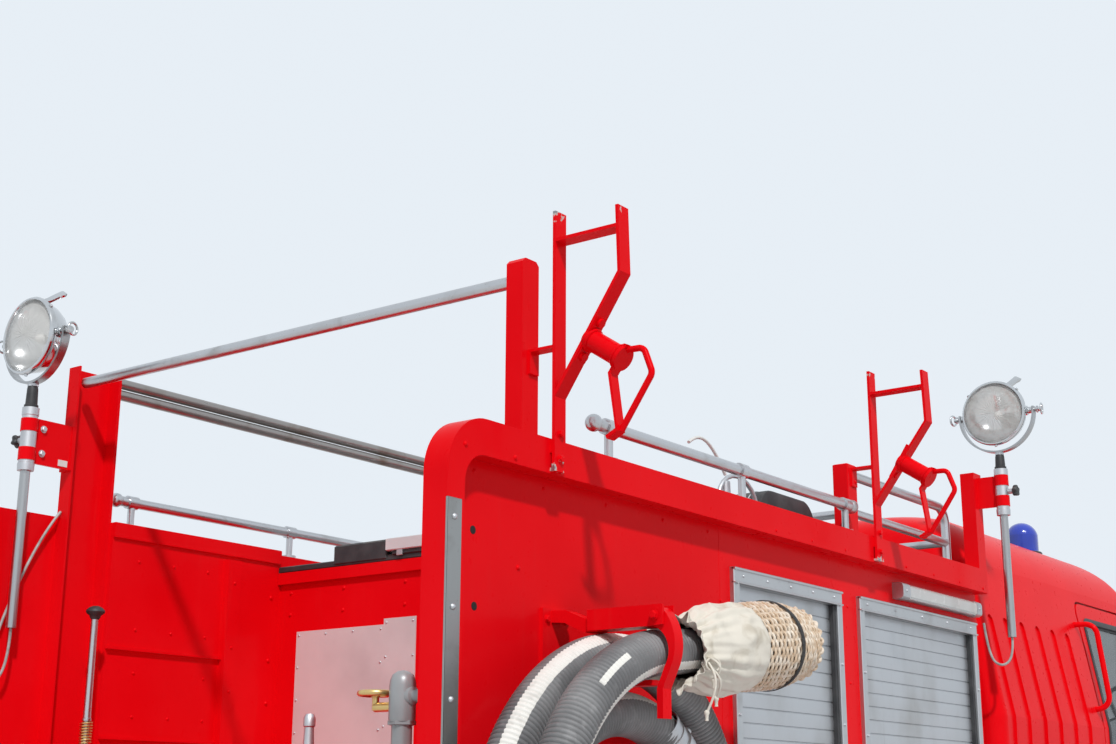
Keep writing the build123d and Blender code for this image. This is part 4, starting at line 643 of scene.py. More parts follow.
weave.tube(path, basket["endCane"], 6, 0, True)
weave.piece("strainer_basket_weave", "wicker", ["wicker"], 60, replaced=["strainer_basket"])
# near-black sheet just inside the weave: painted shade of the basket's hollow inside
basketShade = Forge()
basketShadeProfile = [(0.358, 0.100), (0.40, 0.104), (0.62, 0.106), (0.711, 0.092), (0.719, 0.060)]
basketShade.lathe(strainerStart, strainerAhead, basketShadeProfile, 36)
basketShade.piece("strainer_painted_shade", "wicker", ["paintedShadeBlack"])
band = Forge()
bandLift = basket["weave"] + basket["cane"]
bandSection = ((0.561, 0.0005), (0.562, 0.0024), (0.570, 0.0032), (0.578, 0.0024), (0.579, 0.0005))
band.rings([[
    onStrainer(along + 0.0012 * math.sin(4 * turn), turn, basketRadius(along) + bandLift + rise)
    for along, rise in bandSection
] for turn in turns(180)], loop=True)
band.piece("strainer_bands", "wicker", ["blackRope"], 60)

# Canvas collar, gathered over the hose and the mouth of the basket
collarSettings = {
    "start": 0.073, "end": 0.385, "around": 192, "rows": 46, "seed": 7, "cloth": 0.0016, "string": 0.0034,
}
collarShape = [  # share along, radius, pleat depth
    (0.00, 0.101, 0.0170), (0.08, 0.084, 0.0130), (0.15, 0.0715, 0.0060), (0.22, 0.082, 0.0105),
    (0.42, 0.104, 0.0085), (0.62, 0.119, 0.0050), (0.82, 0.1235, 0.0030), (0.94, 0.1235, 0.0026),
    (1.00, 0.1225, 0.0034),
]
random.seed(collarSettings["seed"])
pleats = [(random.uniform(9, 34), random.uniform(0, 6.28), random.uniform(0.4, 1.0)) for _ in range(9)]


def collarRadius(share, turn):
    for (low, lowRadius, lowDepth), (high, highRadius, highDepth) in zip(collarShape, collarShape[1:]):
        if share <= high + 1e-9:
            blend = (share - low) / (high - low)
            blend = blend * blend * (3 - 2 * blend)
            radius = lowRadius + (highRadius - lowRadius) * blend
            depth = lowDepth + (highDepth - lowDepth) * blend
            break
    fold = 0.0
    for count, phase, size in pleats:
        fold += math.sin(round(count) * turn + phase + share * 2.2) * size / 4.2
    sag = 0.006 * max(0.0, -math.sin(turn)) * math.sin(math.pi * share)
    place = Vector((math.cos(turn) * 2.1, math.sin(turn) * 2.1, share * 2.6))
    crease = 0.5 - abs(noise.noise(place + Vector((share * 1.5, 0, 4.2)))) * 2.2
    ripple = noise.noise(place * 2.6) * 0.6
    body = math.sin(math.pi * min(1.0, (share - 0.12) / 0.88)) ** 0.6 if share > 0.12 else 0.0
    return radius + depth * fold + sag + body * (0.0085 * crease + 0.0050 * ripple)


cloth = Forge()
rings = []
for share in spread(0, 1, collarSettings["rows"]):
    along = collarSettings["start"] + (collarSettings["end"] - collarSettings["start"]) * share
    ring = []
    for turn in turns(collarSettings["around"]):
        frill = 0.010 * math.sin(11 * turn + 1.3) * max(0.0, 1 - share / 0.1)
        ring.append(onStrainer(along + frill, turn, max(0.0635, collarRadius(share, turn))))
    rings.append(ring)
cloth.rings(rings, 0, (False, False))
collar = cloth.piece("strainer_collar_cloth", "canvas", ["canvasCloth"], 80, replaced=["strainer_collar"])
thickness = collar.modifiers.new("cloth", "SOLIDIFY")
thickness.thickness = collarSettings["cloth"]
thickness.offset = -1
strings = Forge()
strings.tube([
    onStrainer(0.120 + 0.003 * math.sin(5 * turn), turn, collarRadius(0.15, turn) + 0.0030)
    for turn in turns(96)
], collarSettings["string"], 8, 0, True)
endProfile = [(0, 0.003), (0.004, 0.007), (0.009, 0.0075), (0.014, 0.005), (0.024, 0.0042), (0.028, 0.005)]
for turnDeg, drop, reach in ((-22, 0.135, -0.006), (-30, 0.085, 0.050), (-14, 0.060, 0.030)):
    top = onStrainer(0.122, math.radians(turnDeg), 0.080)
    path = []
    for share in spread(0, 1, 13):
        bow = -0.010 * math.sin(3.1 * share) - 0.018 * math.sin(math.pi * share)
        path.append(top + Vector((bow, -reach * share, -drop * share ** 1.2)))
    strings.tube(path, collarSettings["string"])
    strings.lathe(path[-1] + Vector((0, 0, 0.008)), (0, 0, -1), endProfile, 12)
knot = onStrainer(0.135, math.radians(-22), 0.092) + Vector((0, 0, -0.006))
strings.tube([
    knot + Vector((-0.006 * math.cos(turn), -0.026 * math.cos(turn), 0.017 * math.sin(turn)))
    for turn in turns(24)
], 0.0030, 8, 0, True)
string = strings.piece("strainer_drawstring", "canvas", ["canvasCloth"], 60)
print("strainer made")

# Searchlights
lamps = {
    "rear": {"centre": (0.968, 2.749, 3.080), "bands": (2.625, 2.818), "knobSide": 1, "knobZ": 2.722},
    "front": {"centre": (-1.205, -0.452, 3.132), "bands": (2.715, 2.885), "knobSide": -1, "knobZ": 2.800},
}
bowlProfile = [
    (-0.088, 0.010), (-0.086, 0.030), (-0.080, 0.056), (-0.066, 0.084), (-0.045, 0.106), (-0.020, 0.120),
    (0.005, 0.127), (0.018, 0.128), (0.020, 0.134), (0.026, 0.1375), (0.038, 0.1375), (0.044, 0.134),
    (0.045, 0.128), (0.040, 0.1255), (0.030, 0.1245), (0.012, 0.118), (-0.015, 0.098), (-0.040, 0.070),
    (-0.056, 0.036), (-0.060, 0.012),
]
bossProfile = [(0, 0.020), (0.010, 0.020), (0.012, 0.014), (0.030, 0.014), (0.032, 0.011)]
hubProfile = [(-0.006, 0.022), (0.006, 0.021), (0.012, 0.013), (0.020, 0.012)]
bulbProfile = [(0, 0.011), (0.022, 0.011), (0.030, 0.017), (0.048, 0.019), (0.062, 0.012), (0.066, 0.004)]
lensProfile = (  # radius, along
    (0.002, 0.052), (0.030, 0.0512), (0.060, 0.0485), (0.090, 0.044), (0.112, 0.0385), (0.1245, 0.034),
)
for name, lamp in lamps.items():
    middle = Vector(lamp["centre"])
    head, slotName = f"searchlight_{name}_head", "lamp_chrome"
    bowl = Forge()
    bowl.lathe(middle, aft, bowlProfile, 64)
    for side in (-1, 1):
        bowl.lathe(middle + Vector((side * 0.124, 0, 0)), (side, 0, 0), bossProfile, 20)
    bowl.lathe(middle + Vector((0, -0.090, 0)), ahead, hubProfile, 20)
    for screwDeg in (40, 140, 270):
        way = Vector((math.cos(math.radians(screwDeg)), 0, math.sin(math.radians(screwDeg))))
        bowl.bolt(middle + Vector((0, 0.032, 0)) + way * 0.1375, way, 0.006)
    bowl.piece(f"searchlight_{name}_bowl", slotName, ["lampChrome"], 40, head, [head])
    bulb = Forge()
    bulb.lathe(middle + Vector((0, -0.060, 0)), aft, bulbProfile, 20)
    bulb.piece(f"searchlight_{name}_bulb", slotName, ["whitePlate"], 40, head)
    # the lens takes the lamp glass, with its painted reflection
    lens = Forge()
    rings = []
    for radius, along in lensProfile:
        ring = []
        for turn in turns(96):
            flute = along + 0.0011 * math.cos(turn * radius * 900)
            ring.append(middle + Vector((math.cos(turn) * radius, flute, math.sin(turn) * radius)))
        rings.append(ring)
    lens.rings(rings, 0, (True, False))
    lens.piece(f"searchlight_{name}_lens", slotName, ["lampGlass"], 60, head)
print("searchlights made")

# Cables of the searchlights
cableSettings = {
    "rear": (0.83, [
        (0.968, 2.749, 2.0837), (0.968, 2.749, 1.960), (0.980, 2.800, 1.890), (1.006, 2.800, 2.010),
        (1.000, 2.650, 2.400), (0.994, 2.5745, 2.500),
    ]),
    "front": (0.32, [
        (-1.205, -0.452, 2.1997), (-1.205, -0.452, 2.120), (-1.165, -0.430, 2.080), (-1.115, -0.420, 2.120),
        (-1.1053, -0.410, 2.260),
    ]),
}
for name, (length, route) in cableSettings.items():
    curve = bpy.data.curves.new(f"cable_{name}_line", "CURVE")
    curve.dimensions = "3D"
    curve.bevel_depth = 0.005
    curve.bevel_resolution = 3
    curve.use_fill_caps = True
    spline = curve.splines.new("NURBS")
    spline.points.add(len(route) - 1)
    for spot, point in enumerate(route):
        spline.points[spot].co = (*point, 1.0)
    spline.order_u = 3
    spline.use_endpoint_u = True
    spline.resolution_u = 12
    curve.materials.append(finishOf["cableSkin"])
    cable = mounted(placed(f"cable_{name}_line", curve), replaced=[f"cable_{name}"])
print("cables made")

# Lamp poles: sleeves, clamp blocks, star knobs, wing nuts and toggles
knobSettings = {"radius": 0.021, "lobes": 0.16, "toggleDeg": 58, "toggleThick": 0.0050}
knobProfile = ((0.0, 0.55), (0.004, 0.9), (0.008, 1.0), (0.018, 1.0), (0.022, 0.9), (0.025, 0.4))
toggleSections = (  # reach, half width, depth
    (0.0, 0.012, 0.0), (0.006, 0.013, 0.010), (0.028, 0.014, 0.034), (0.042, 0.016, 0.052),
    (0.045, 0.014, 0.058),
)
for name, lamp in lamps.items():
    middle = Vector(lamp["centre"])
    low, high = lamp["bands"]
    side = lamp["knobSide"]
    spot = Vector((middle.x, middle.y, 0))
    neck = lamp["centre"][2] - 0.164 - high
    fittings = Forge()
    fittings.lathe(spot + Vector((0, 0, high + 0.012)), up, [
        (0, 0.024), (0.010, 0.024), (0.012, 0.0205), (neck - 0.030, 0.0185), (neck - 0.014, 0.0150),
    ], 28, 1)
    fittings.lathe(spot + Vector((0, 0, low - 0.014)), up, [
        (0, 0.019), (0.001, 0.0275), (0.020, 0.0285), (0.026, 0.0285), (0.028, 0.0265),
        (high - low - 0.002, 0.0265),
        (high - low, 0.0285), (high - low + 0.026, 0.0285), (high - low + 0.028, 0.019),
    ], 32)
    knobStart = spot + Vector((side * 0.026, 0, lamp["knobZ"]))
    fittings.lathe(knobStart, (side, 0, 0), [(0, 0.011), (0.020, 0.011), (0.022, 0.007)], 16)
    knobRings = [(along + 0.020, knobSettings["radius"] * share) for along, share in knobProfile]
    fittings.lathe(knobStart, (side, 0, 0), knobRings, 40, 1, lobes=knobSettings["lobes"])
    nutProfile = [(0, 0.013), (0.002, 0.019), (0.012, 0.019), (0.014, 0.012)]
    fittings.lathe(middle - Vector((0, 0, 0.176)), up, nutProfile, 6)
    pole, slotName = f"searchlight_{name}_pole", "lamp_chrome"
    fittings.piece(f"searchlight_{name}_clamp", slotName, ["castAlloy", "darkPlastic"], 40, pole)
    nuts = Forge()
    for side in (-1, 1):
        pivot = middle + Vector((side * 0.174, 0, 0))
        nuts.lathe(pivot, (side, 0, 0), [(0, 0.015), (0.004, 0.015), (0.006, 0.010), (0.014, 0.010)], 20)
        wing = []
        for turn in turns(20):
            y, z = math.cos(turn), math.sin(turn)
            wing.append(pivot + Vector((side * (0.020 + 0.004 * y), 0.021 * y, 0.021 * z)))
        nuts.tube(wing, 0.0042, 8, 0, True)
    nuts.piece(f"searchlight_{name}_wing_nuts", slotName, ["lampChrome"], 50, pole)
    toggle = Forge()
    tilt = math.radians(knobSettings["toggleDeg"])
    direction = Vector((-math.cos(tilt), 0, math.sin(tilt)))
    sideways = Vector((math.sin(tilt), 0, math.cos(tilt)))
    thick = direction * knobSettings["toggleThick"]
    sections = []
    for reach, width, depth in toggleSections:
        core = middle + direction * (0.132 + reach) + Vector((0, 0.030 - depth, 0))
        right, left = core + sideways * width, core - sideways * width
        sections.append([right + thick, left + thick, left - thick, right - thick])
    toggle.rings(sections)
    toggle.piece(f"searchlight_{name}_toggle", slotName, ["lampChrome"], 40, f"searchlight_{name}_head")
print("lamp fittings made")

# Shutters: slats in a bolted frame, dark guides and a handle
shutterSettings = {
    "openings": ((1.511, 0.761, 1.130), (0.620, -0.445, 0.610)),  # rear y, front y, foot z
    "header": 2.266, "pitch": 0.048, "frame": 0.036, "headerDepth": 0.052, "footBar": 0.070, "back": 1.018,
    "handle": ((0.024, 0.090), (0.040, 0.089), (0.047, 0.080)),  # depth and distance from the middle
}
for side, sideName in bothSides:
    def out(depth):
        return side * (shutterSettings["back"] + depth)

    curtain, surround, fixings = Forge(), Forge(), Forge()
    outward = Vector((side, 0, 0))
    headerZ = shutterSettings["header"]
    for rearY, frontY, footZ in shutterSettings["openings"]:
        lowZ, highZ = footZ + shutterSettings["headerDepth"], headerZ - shutterSettings["headerDepth"]
        barZ = lowZ + shutterSettings["footBar"]
        near, far = frontY + shutterSettings["frame"], rearY - shutterSettings["frame"]
        count = round((highZ - barZ) / shutterSettings["pitch"])
        pitch = (highZ - barZ) / count
        section = [(0, highZ)]
        for slat in range(count):
            top = highZ - slat * pitch
            section += [
                (0.0085, top), (0.0085, top - 0.0022), (0.0122, top - 0.0034), (0.0134, top - pitch * 0.5),
                (0.0124, top - pitch + 0.0016),
            ]
        section += [(0.0085, barZ), (0, barZ)]
        curtain.prism(side, [(shutterSettings["back"] + depth, z) for depth, z in section], (near, far))
        curtain.block((out(0.002), near, lowZ), (out(0.0265), far, barZ), 0, 0.004)
        for y, inward in ((near, 0.016), (far, -0.016)):  # dark guides beside the slats
            surround.block((out(0.004), y, lowZ), (out(0.030), y + inward, highZ), 1, 0.002)
        surround.block((out(0.001), frontY, footZ), (out(0.0400), near, headerZ), 0, 0.003)
        surround.block((out(0.001), far, footZ), (out(0.0400), rearY, headerZ), 0, 0.003)
        lowX, highX = sorted((out(0.001), out(0.0400)))
        surround.block((lowX, frontY + 0.001, footZ), (highX - 0.0006, rearY - 0.001, lowZ), 0, 0.003)
        headerEnd = (highX + 0.0006, rearY - 0.001, headerZ - 0.001)
        surround.block((lowX - 0.0006, frontY + 0.001, highZ), headerEnd, 0, 0.003)
        surround.block((out(0.030), frontY, headerZ - 0.010), (out(0.046), rearY, headerZ - 0.001), 0, 0.002)
        surround.block((out(0.030), frontY, highZ), (out(0.046), rearY, highZ + 0.006), 0, 0.0015)
        for y in (frontY + shutterSettings["frame"] / 2, rearY - shutterSettings["frame"] / 2):
            for z in spread(footZ + 0.05, headerZ - 0.05, max(4, round((headerZ - footZ) / 0.20))):
                fixings.bolt((out(0.0400), y, z), outward, 0.0055)
        for y in spread(frontY + 0.06, rearY - 0.06, 5):
            fixings.rivet((out(0.0405), y, headerZ - 0.026), outward, 0.0055)
        handleY, handleZ = (rearY + frontY) / 2, lowZ + 0.034
        half = shutterSettings["handle"]
        path = [(depth, -along) for depth, along in half] + [(0.048, 0)] + list(half[::-1])
        fixings.tube([(out(depth), handleY + along, handleZ) for depth, along in path], 0.0065, 10)
    curtain.piece(f"shutter_slats_{sideName}", "shutter_alloy", ["shutterAlloy"], 30, replaced=["shutters"])
    surround.piece(f"shutter_frames_{sideName}", "shutter_alloy", ["frameAlloy", "darkPlastic"], 30)
    fixings.piece(f"shutter_fixings_{sideName}", "shutter_alloy", ["castAlloy"], 35)
print("shutters made")

# Stainless strips on the rear corners
stripSettings = {
    "width": 0.056, "back": 0.006, "face": 1.1020, "edgeY": 2.972, "low": 0.520, "high": 2.261,
    "bolts": 8, "boltGap": 0.224, "firstBolt": 2.213,
}
strips, stripBolts = Forge(), Forge()
for side in (-1, 1):
    face, low, high, edgeY = (stripSettings[key] for key in ("face", "low", "high", "edgeY"))
    frontY = edgeY - stripSettings["width"]
    strips.block((side * (face - 0.0035), frontY, low), (side * face, edgeY, high), 0, 0.0012)
    strips.block((side * (face - stripSettings["back"]), 2.969, low), (side * face, 2.9725, high), 0, 0.0012)
    for number in range(stripSettings["bolts"]):
        z = stripSettings["firstBolt"] - stripSettings["boltGap"] * number
        stripBolts.rivet((side * (face - 0.0002), 2.944, z), (side, 0, 0), 0.0085)
strips.piece("corner_strip_plates", "stainless", ["darkSteel"], 30, replaced=["corner_strips"])
stripBolts.piece("corner_strip_bolts", "stainless", ["castAlloy"])


# Gaskets, handles and wipers, seated on the skin of the cab
cabSkin = {"x": 1.095, "waist": 1.9, "leanIn": 0.117, "upper": 0.655, "before": -3.6, "beside": 1.6}


def skin(nodeName):
    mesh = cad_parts[nodeName].data
    points = [vertex.co for vertex in mesh.vertices]
    return BVHTree.FromPolygons(points, [polygon.vertices[:] for polygon in mesh.polygons])


skins = {name: skin(name) for name in ("cab_shell", "windscreen", "body_sides", "front_bumper")}


def touch(names, start, way):  # first point of the named nodes along way, with its outward direction
    best = None
    for name in names:
        spot, normal, _, distance = skins[name].ray_cast(Vector(start), Vector(way))
        if spot is not None and (best is None or distance < best[2]):
            best = (spot, normal if normal.dot(Vector(way)) < 0 else -normal, distance)
    return best[:2]


def atFront(x, z, *names):
    return touch(names, (x, cabSkin["before"], z), aft)


def atSide(side, y, z, name):
    return touch([name], (side * cabSkin["beside"], y, z), (-side, 0, 0))


def roundedLoop(corners, radii):
    loop = []
    corners = [Vector(corner) for corner in corners]
    for number, (corner, radius) in enumerate(zip(corners, radii)):
        before = (corners[number - 1] - corner).normalized()
        after = (corners[(number + 1) % len(corners)] - corner).normalized()
        half = before.angle(after) / 2
        reach = radius / math.tan(half)
        centre = corner + (before + after).normalized() * (radius / math.sin(half))
        first, last = corner + before * reach - centre, corner + after * reach - centre
        loop += [centre + first.lerp(last, share).normalized() * radius for share in spread(0, 1, 9)]
    dense = []
    for number, point in enumerate(loop):
        following = loop[(number + 1) % len(loop)]
        parts = max(1, int((following - point).length / 0.05))
        dense += [point.lerp(following, part / parts) for part in range(parts)]
    return dense


def flatBand(forge, corners, radii, mapper, width, thick):  # rubber section along a closed loop on a surface
    loop = roundedLoop(corners, radii)
    rings = []
    for number, point in enumerate(loop):
        ahead = (loop[(number + 1) % len(loop)] - loop[number - 1]).normalized()
        aside = Vector((ahead.y, -ahead.x)) * width / 2
        inner, outer = point - aside, point + aside
        section = ((inner, 0), (inner, thick * 0.6), (point, thick), (outer, thick * 0.6), (outer, 0))
        rings.append([mapper(spot, rise) for spot, rise in section])
    forge.rings(rings, loop=True)


def sideX(z):  # outer skin of the cab, which leans in above the waist
    return cabSkin["x"] - max(0.0, z - cabSkin["waist"]) * cabSkin["leanIn"] / cabSkin["upper"]


doorBands = [  # corners (y, z), radii, depth in the skin, width, thickness
    ([(-2.706, 1.769), (-2.706, 1.9), (-2.611, 2.421), (-1.919, 2.421), (-1.899, 1.9), (-1.899, 1.769)],
     [0.045, 0.2, 0.05, 0.05, 0.2, 0.012], 0.001, 0.026, 0.009),
    ([(-2.694, 1.781), (-2.694, 1.9), (-2.602, 2.409), (-1.930, 2.409), (-1.911, 1.9), (-1.911, 1.781)],
     [0.040, 0.2, 0.04, 0.04, 0.2, 0.008], 0.0145, 0.024, 0.008),
]
handleSettings = {"y": -1.925, "z": 1.560, "halfLength": 0.080, "halfHeight": 0.030}
for side, sideName in bothSides:
    gasket = Forge()
    for corners, radii, depth, width, thick in doorBands:
        def onDoor(point, rise):
            return Vector((side * (sideX(point.y) + rise - depth), point.x, point.y))

        flatBand(gasket, corners, radii, onDoor, width, thick)
    gasket.piece(f"door_gasket_{sideName}", "dark_plastic", ["darkPlastic"], 50, f"door_{sideName}")
    handle = Forge()
    y, z, halfY, halfZ = handleSettings.values()
    handle.block((side * 1.0945, y - halfY, z - halfZ), (side * 1.0985, y + halfY, z + halfZ), 0, 0.0015)
    lockProfile = [(0, 0.016), (0.004, 0.016), (0.006, 0.013), (0.0065, 0.004)]
    handle.lathe((side * 1.096, y + 0.052, z - 0.058), (side, 0, 0), lockProfile, 20)
    handle.piece(f"door_handle_plate_{sideName}", "dark_plastic", ["lampChrome"], 40, f"door_{sideName}")

screenBands = [  # node, half width, low, high, radius, width, thickness
    ("cab_shell", 0.882, 1.746, 2.514, 0.102, 0.020, 0.010),
    ("windscreen", 0.854, 1.774, 2.486, 0.080, 0.018, 0.012),
]
screenGasket = Forge()
for node, halfX, low, high, radius, width, thick in screenBands:
    def onScreen(point, rise):
        return atFront(point.x, point.y, node)[0] + Vector((0, 0.001 - rise, 0))

    corners = [(-halfX, low), (-halfX, high), (halfX, high), (halfX, low)]
    flatBand(screenGasket, corners, [radius] * 4, onScreen, width, thick)
screenGasket.piece("windscreen_gasket", "dark_plastic", ["darkPlastic"], 50)
wipers = Forge()


def overFront(x, z, rise):
    return atFront(x, z, "cab_shell", "windscreen")[0] + Vector((0, -rise, 0))


for pivotX, tipX in ((-0.50, -0.10), (0.30, 0.70)):
    pivot, _ = atFront(pivotX, 1.715, "cab_shell")
    wipers.lathe(pivot, ahead, [(-0.004, 0.020), (0.010, 0.018), (0.016, 0.010), (0.018, 0.004)], 20)
    arm = []
    for share in (0.0, 0.15, 0.35, 0.6, 0.85, 1.0):
        x, z = pivotX + (tipX - pivotX) * share, 1.722 + 0.095 * share
        lifted = overFront(x, max(z, 1.80), 0.030 if share > 0.1 else 0.022)
        arm.append((x, min(lifted.y, pivot.y - 0.012), z))
    wipers.tube(arm, 0.0045)
    reaches = (-0.27, -0.18, -0.09, 0.0, 0.09)
    wipers.tube([overFront(tipX + reach, 1.818 + 0.02 * abs(reach), 0.012) for reach in reaches], 0.0062)
wipers.piece("windscreen_wipers", "dark_plastic", ["darkPlastic"], 50)
print("glazing trimmed")

# Lamps front and rear, bare number plates, bumper bolts, mirror glass and beacon collars
headlampSettings = {
    "x": 0.790, "y": -3.0, "z": 0.850,
    "bowl": [
        (-0.090, 0.060), (-0.088, 0.095), (-0.004, 0.0975), (0.004, 0.1060), (0.010, 0.1050),
        (0.012, 0.0960), (0.006, 0.0880), (-0.020, 0.0800), (-0.060, 0.0500), (-0.072, 0.0150),
    ],
    "bulb": [(0, 0.009), (0.020, 0.010), (0.034, 0.012), (0.046, 0.008), (0.050, 0.002)],
    "glass": [(0.005, 0.0890), (0.010, 0.0860), (0.016, 0.0680), (0.020, 0.0400), (0.021, 0.0050)],
}
headlamps, headlampGlass, signals, bumperDetails, mirrorGlass, tails, collars = (Forge() for _ in range(7))
for side in (-1, 1):
    spot = Vector((side * headlampSettings["x"], headlampSettings["y"], headlampSettings["z"]))
    headlamps.lathe(spot, ahead, headlampSettings["bowl"], 56)
    headlamps.lathe(spot + Vector((0, 0.072, 0)), ahead, headlampSettings["bulb"], 16, 2)
    for screwDeg in (35, 145, 270):
        turn = math.radians(screwDeg)
        screwWay = Vector((math.cos(turn), 0, math.sin(turn)))
        headlamps.rivet(spot + Vector((0, -0.0095, 0)) + screwWay * 0.1015, ahead, 0.0045)
    headlampGlass.lathe(spot, ahead, headlampSettings["glass"], 56, 0, (False, True))
    spot, out = atFront(side * 0.800, 1.030, "cab_shell")
    foot = spot - out * 0.006
    signals.lathe(foot, out, [(0, 0.050), (0.010, 0.050), (0.012, 0.047)], 36, 1)
    signals.lathe(foot, out, [(0.008, 0.045), (0.024, 0.043), (0.034, 0.033), (0.038, 0.010)], 36)
    spot, out = atSide(side, -1.30, 1.010, "cab_shell")
    signals.lathe(spot - out * 0.004, out, [(0, 0.032), (0.008, 0.032), (0.018, 0.027), (0.021, 0.008)], 28)
    for x in (0.30, 0.82):
        spot, out = atFront(side * x, 0.533, "front_bumper")
        bumperDetails.bolt(spot - out * 0.002, out, 0.013)
    spot, out = atFront(side * 0.56, 0.533, "front_bumper")
    capProfile = [(0, 0.058), (0.006, 0.058), (0.008, 0.030), (0.010, 0.012)]
    bumperDetails.lathe(spot - out * 0.004, out, capProfile, 32)
    mirrorGlass.block((side * 1.208, -2.962, 1.712), (side * 1.418, -2.9575, 2.098), 0, 0.001)
    for mark, (near, far) in enumerate(((0.764, 0.838), (0.840, 0.912), (0.914, 0.986))):
        tails.block((side * near, 2.975, 0.706), (side * far, 3.0175, 0.794), mark, 0.008)
    tails.block((side * 0.760, 2.966, 0.700), (side * 0.990, 2.988, 0.800), 3, 0.003)
    beaconCollar = [(0, 0.098), (0.030, 0.098), (0.034, 0.094), (0.036, 0.083)]
    collars.lathe((side * 0.620, -2.200, 2.786), up, beaconCollar, 40, 0, (True, False))
plates = Forge()
bumperY = atFront(0.0, 0.53, "front_bumper")[0].y - 0.004
plates.block((-0.26, bumperY, 0.478), (0.26, bumperY + 0.024, 0.588), 0, 0.0015)
plates.block((-0.26, 2.9702, 0.885), (0.26, 2.9752, 0.995), 0, 0.0015)
for x in (-0.17, 0.17):
    plates.rivet((x, bumperY, 0.533), ahead, 0.006, 1)
    plates.rivet((x, 2.9752, 0.940), aft, 0.006, 1)
headlampFinishes = ["lampChrome", "darkPlastic", "whitePlate"]
headlamps.piece("headlamp_bowls", "lamp_chrome", headlampFinishes, replaced=["headlamps"])
headlampGlass.piece("headlamp_glass", "lamp_chrome", ["lampGlass"], 60)
signals.piece("indicator_lamps", "red_lens", ["amberLens", "darkPlastic"])
plates.piece("bare_plates", "bumper_paint", ["whitePlate", "castAlloy"], 35)
bumperDetails.piece("bumper_fixings", "bumper_paint", ["castAlloy"], 35)
mirrorGlass.piece("mirror_glass", "dark_plastic", ["mirrorFace"], 30)
tailFinishes = ["redLens", "amberLens", "lampGlass", "darkPlastic"]
tails.piece("tail_lamp_lenses", "red_lens", tailFinishes, 35, replaced=["tail_lamps"])
collars.piece("beacon_collars", "dark_plastic", ["darkPlastic"])
print("road lamps made")

# Tyres with tread
tyreSettings = {
    "lugs": 56, "axleZ": 0.450, "frontY": -2.014, "rearY": 1.136, "skew": 3.5,
    "steps": ((0.0, False), (0.62, False), (0.70, True), (0.92, True)),  # share of a lug, sunk
    "halfProfile": [
        (0.0040, 0.4380), (0.0055, 0.4495), (0.0500, 0.4488), (0.0520, 0.4370), (0.0600, 0.4370),
        (0.0620, 0.4480), (0.0900, 0.4445), (0.1010, 0.4300), (0.1070, 0.4080), (0.1080, 0.4040),
        (0.1120, 0.3800), (0.1145, 0.3450), (0.1138, 0.3180), (0.1120, 0.3160), (0.1110, 0.3000),
        (0.1060, 0.2780), (0.0985, 0.2660), (0.0950, 0.2540),
    ],
}


def treadPoint(x, radius, turn, sunk):  # the shoulder lugs and the middle ribs are cut, and run aslant
    if sunk and 0.0615 < abs(x) < 0.108 and radius > 0.405:
        radius -= 0.0105
    elif sunk and 0.005 < abs(x) < 0.051 and radius > 0.44:
        radius -= 0.0050
    if radius > 0.40:
        turn += tyreSettings["skew"] * x * 2 * math.pi / tyreSettings["lugs"]
    return Vector((x, math.sin(turn) * radius, math.cos(turn) * radius))


def treadedTyre(name, node, centresX, centreY, body):
    forge = Forge()
    half = tyreSettings["halfProfile"]
    profile = half[::-1] + [(-x, radius) for x, radius in half]
    for centreX in centresX:
        centre = Vector((centreX, centreY, tyreSettings["axleZ"]))
        rings = []
        for lug in turns(tyreSettings["lugs"]):
            for share, sunk in tyreSettings["steps"]:
                turn = lug + 2 * math.pi * share / tyreSettings["lugs"]
                rings.append([centre + treadPoint(x, radius, turn, sunk) for x, radius in profile])
        forge.rings(rings, loop=True)
    forge.piece(name, "tyre", ["tyreRubber"], 35, body, [node])


for side, sideName in bothSides:
    row = f"front_{sideName}"
    treadedTyre(f"tread_{row}", f"tyre_{row}", [side * 0.920], tyreSettings["frontY"], f"wheel_{row}")
for side, sideName in bothSides:
    row, twins = f"rear_{sideName}", [side * 0.925, side * 0.653]
    treadedTyre(f"tread_{row}", f"tyres_{row}", twins, tyreSettings["rearY"], f"wheels_{row}")
studProfile = [(0, 0.0125), (0.006, 0.0122), (0.008, 0.008), (0.018, 0.008), (0.019, 0.006)]
hubRows = {"wheel_front": ("frontY", 0.998, 0.081, 0.986), "wheels_rear": ("rearY", 0.803, 0.067, 0.966)}
for row, (centreY, discX, circle, faceX) in hubRows.items():  # disc x, hub bolt circle, hub face x
    for side, sideName in bothSides:
        nuts = Forge()
        hub = Vector((0, tyreSettings[centreY], tyreSettings["axleZ"]))
        for turn in turns(8):
            way = Vector((0, math.cos(turn), math.sin(turn)))
            stud = hub + Vector((side * (discX + 0.020), 0, 0)) + way * 0.1375
            nuts.lathe(stud, (side, 0, 0), studProfile, 16)
            turn += math.pi / 8
            way = Vector((0, math.cos(turn), math.sin(turn)))
            nuts.bolt(hub + Vector((side * faceX, 0, 0)) + way * circle, (side, 0, 0), 0.0085)
        valve = hub + Vector((side * (discX - 0.010), 0, -0.205))
        stem = ((0, 0), (0.035, -0.006), (0.060, 0.004))
        nuts.tube([valve + Vector((side * reach, 0, rise)) for reach, rise in stem], 0.0045)
        nuts.piece(f"studs_{row}_{sideName}", "wheel_paint", ["castAlloy"], 40, f"{row}_{sideName}")
print("wheels dressed")

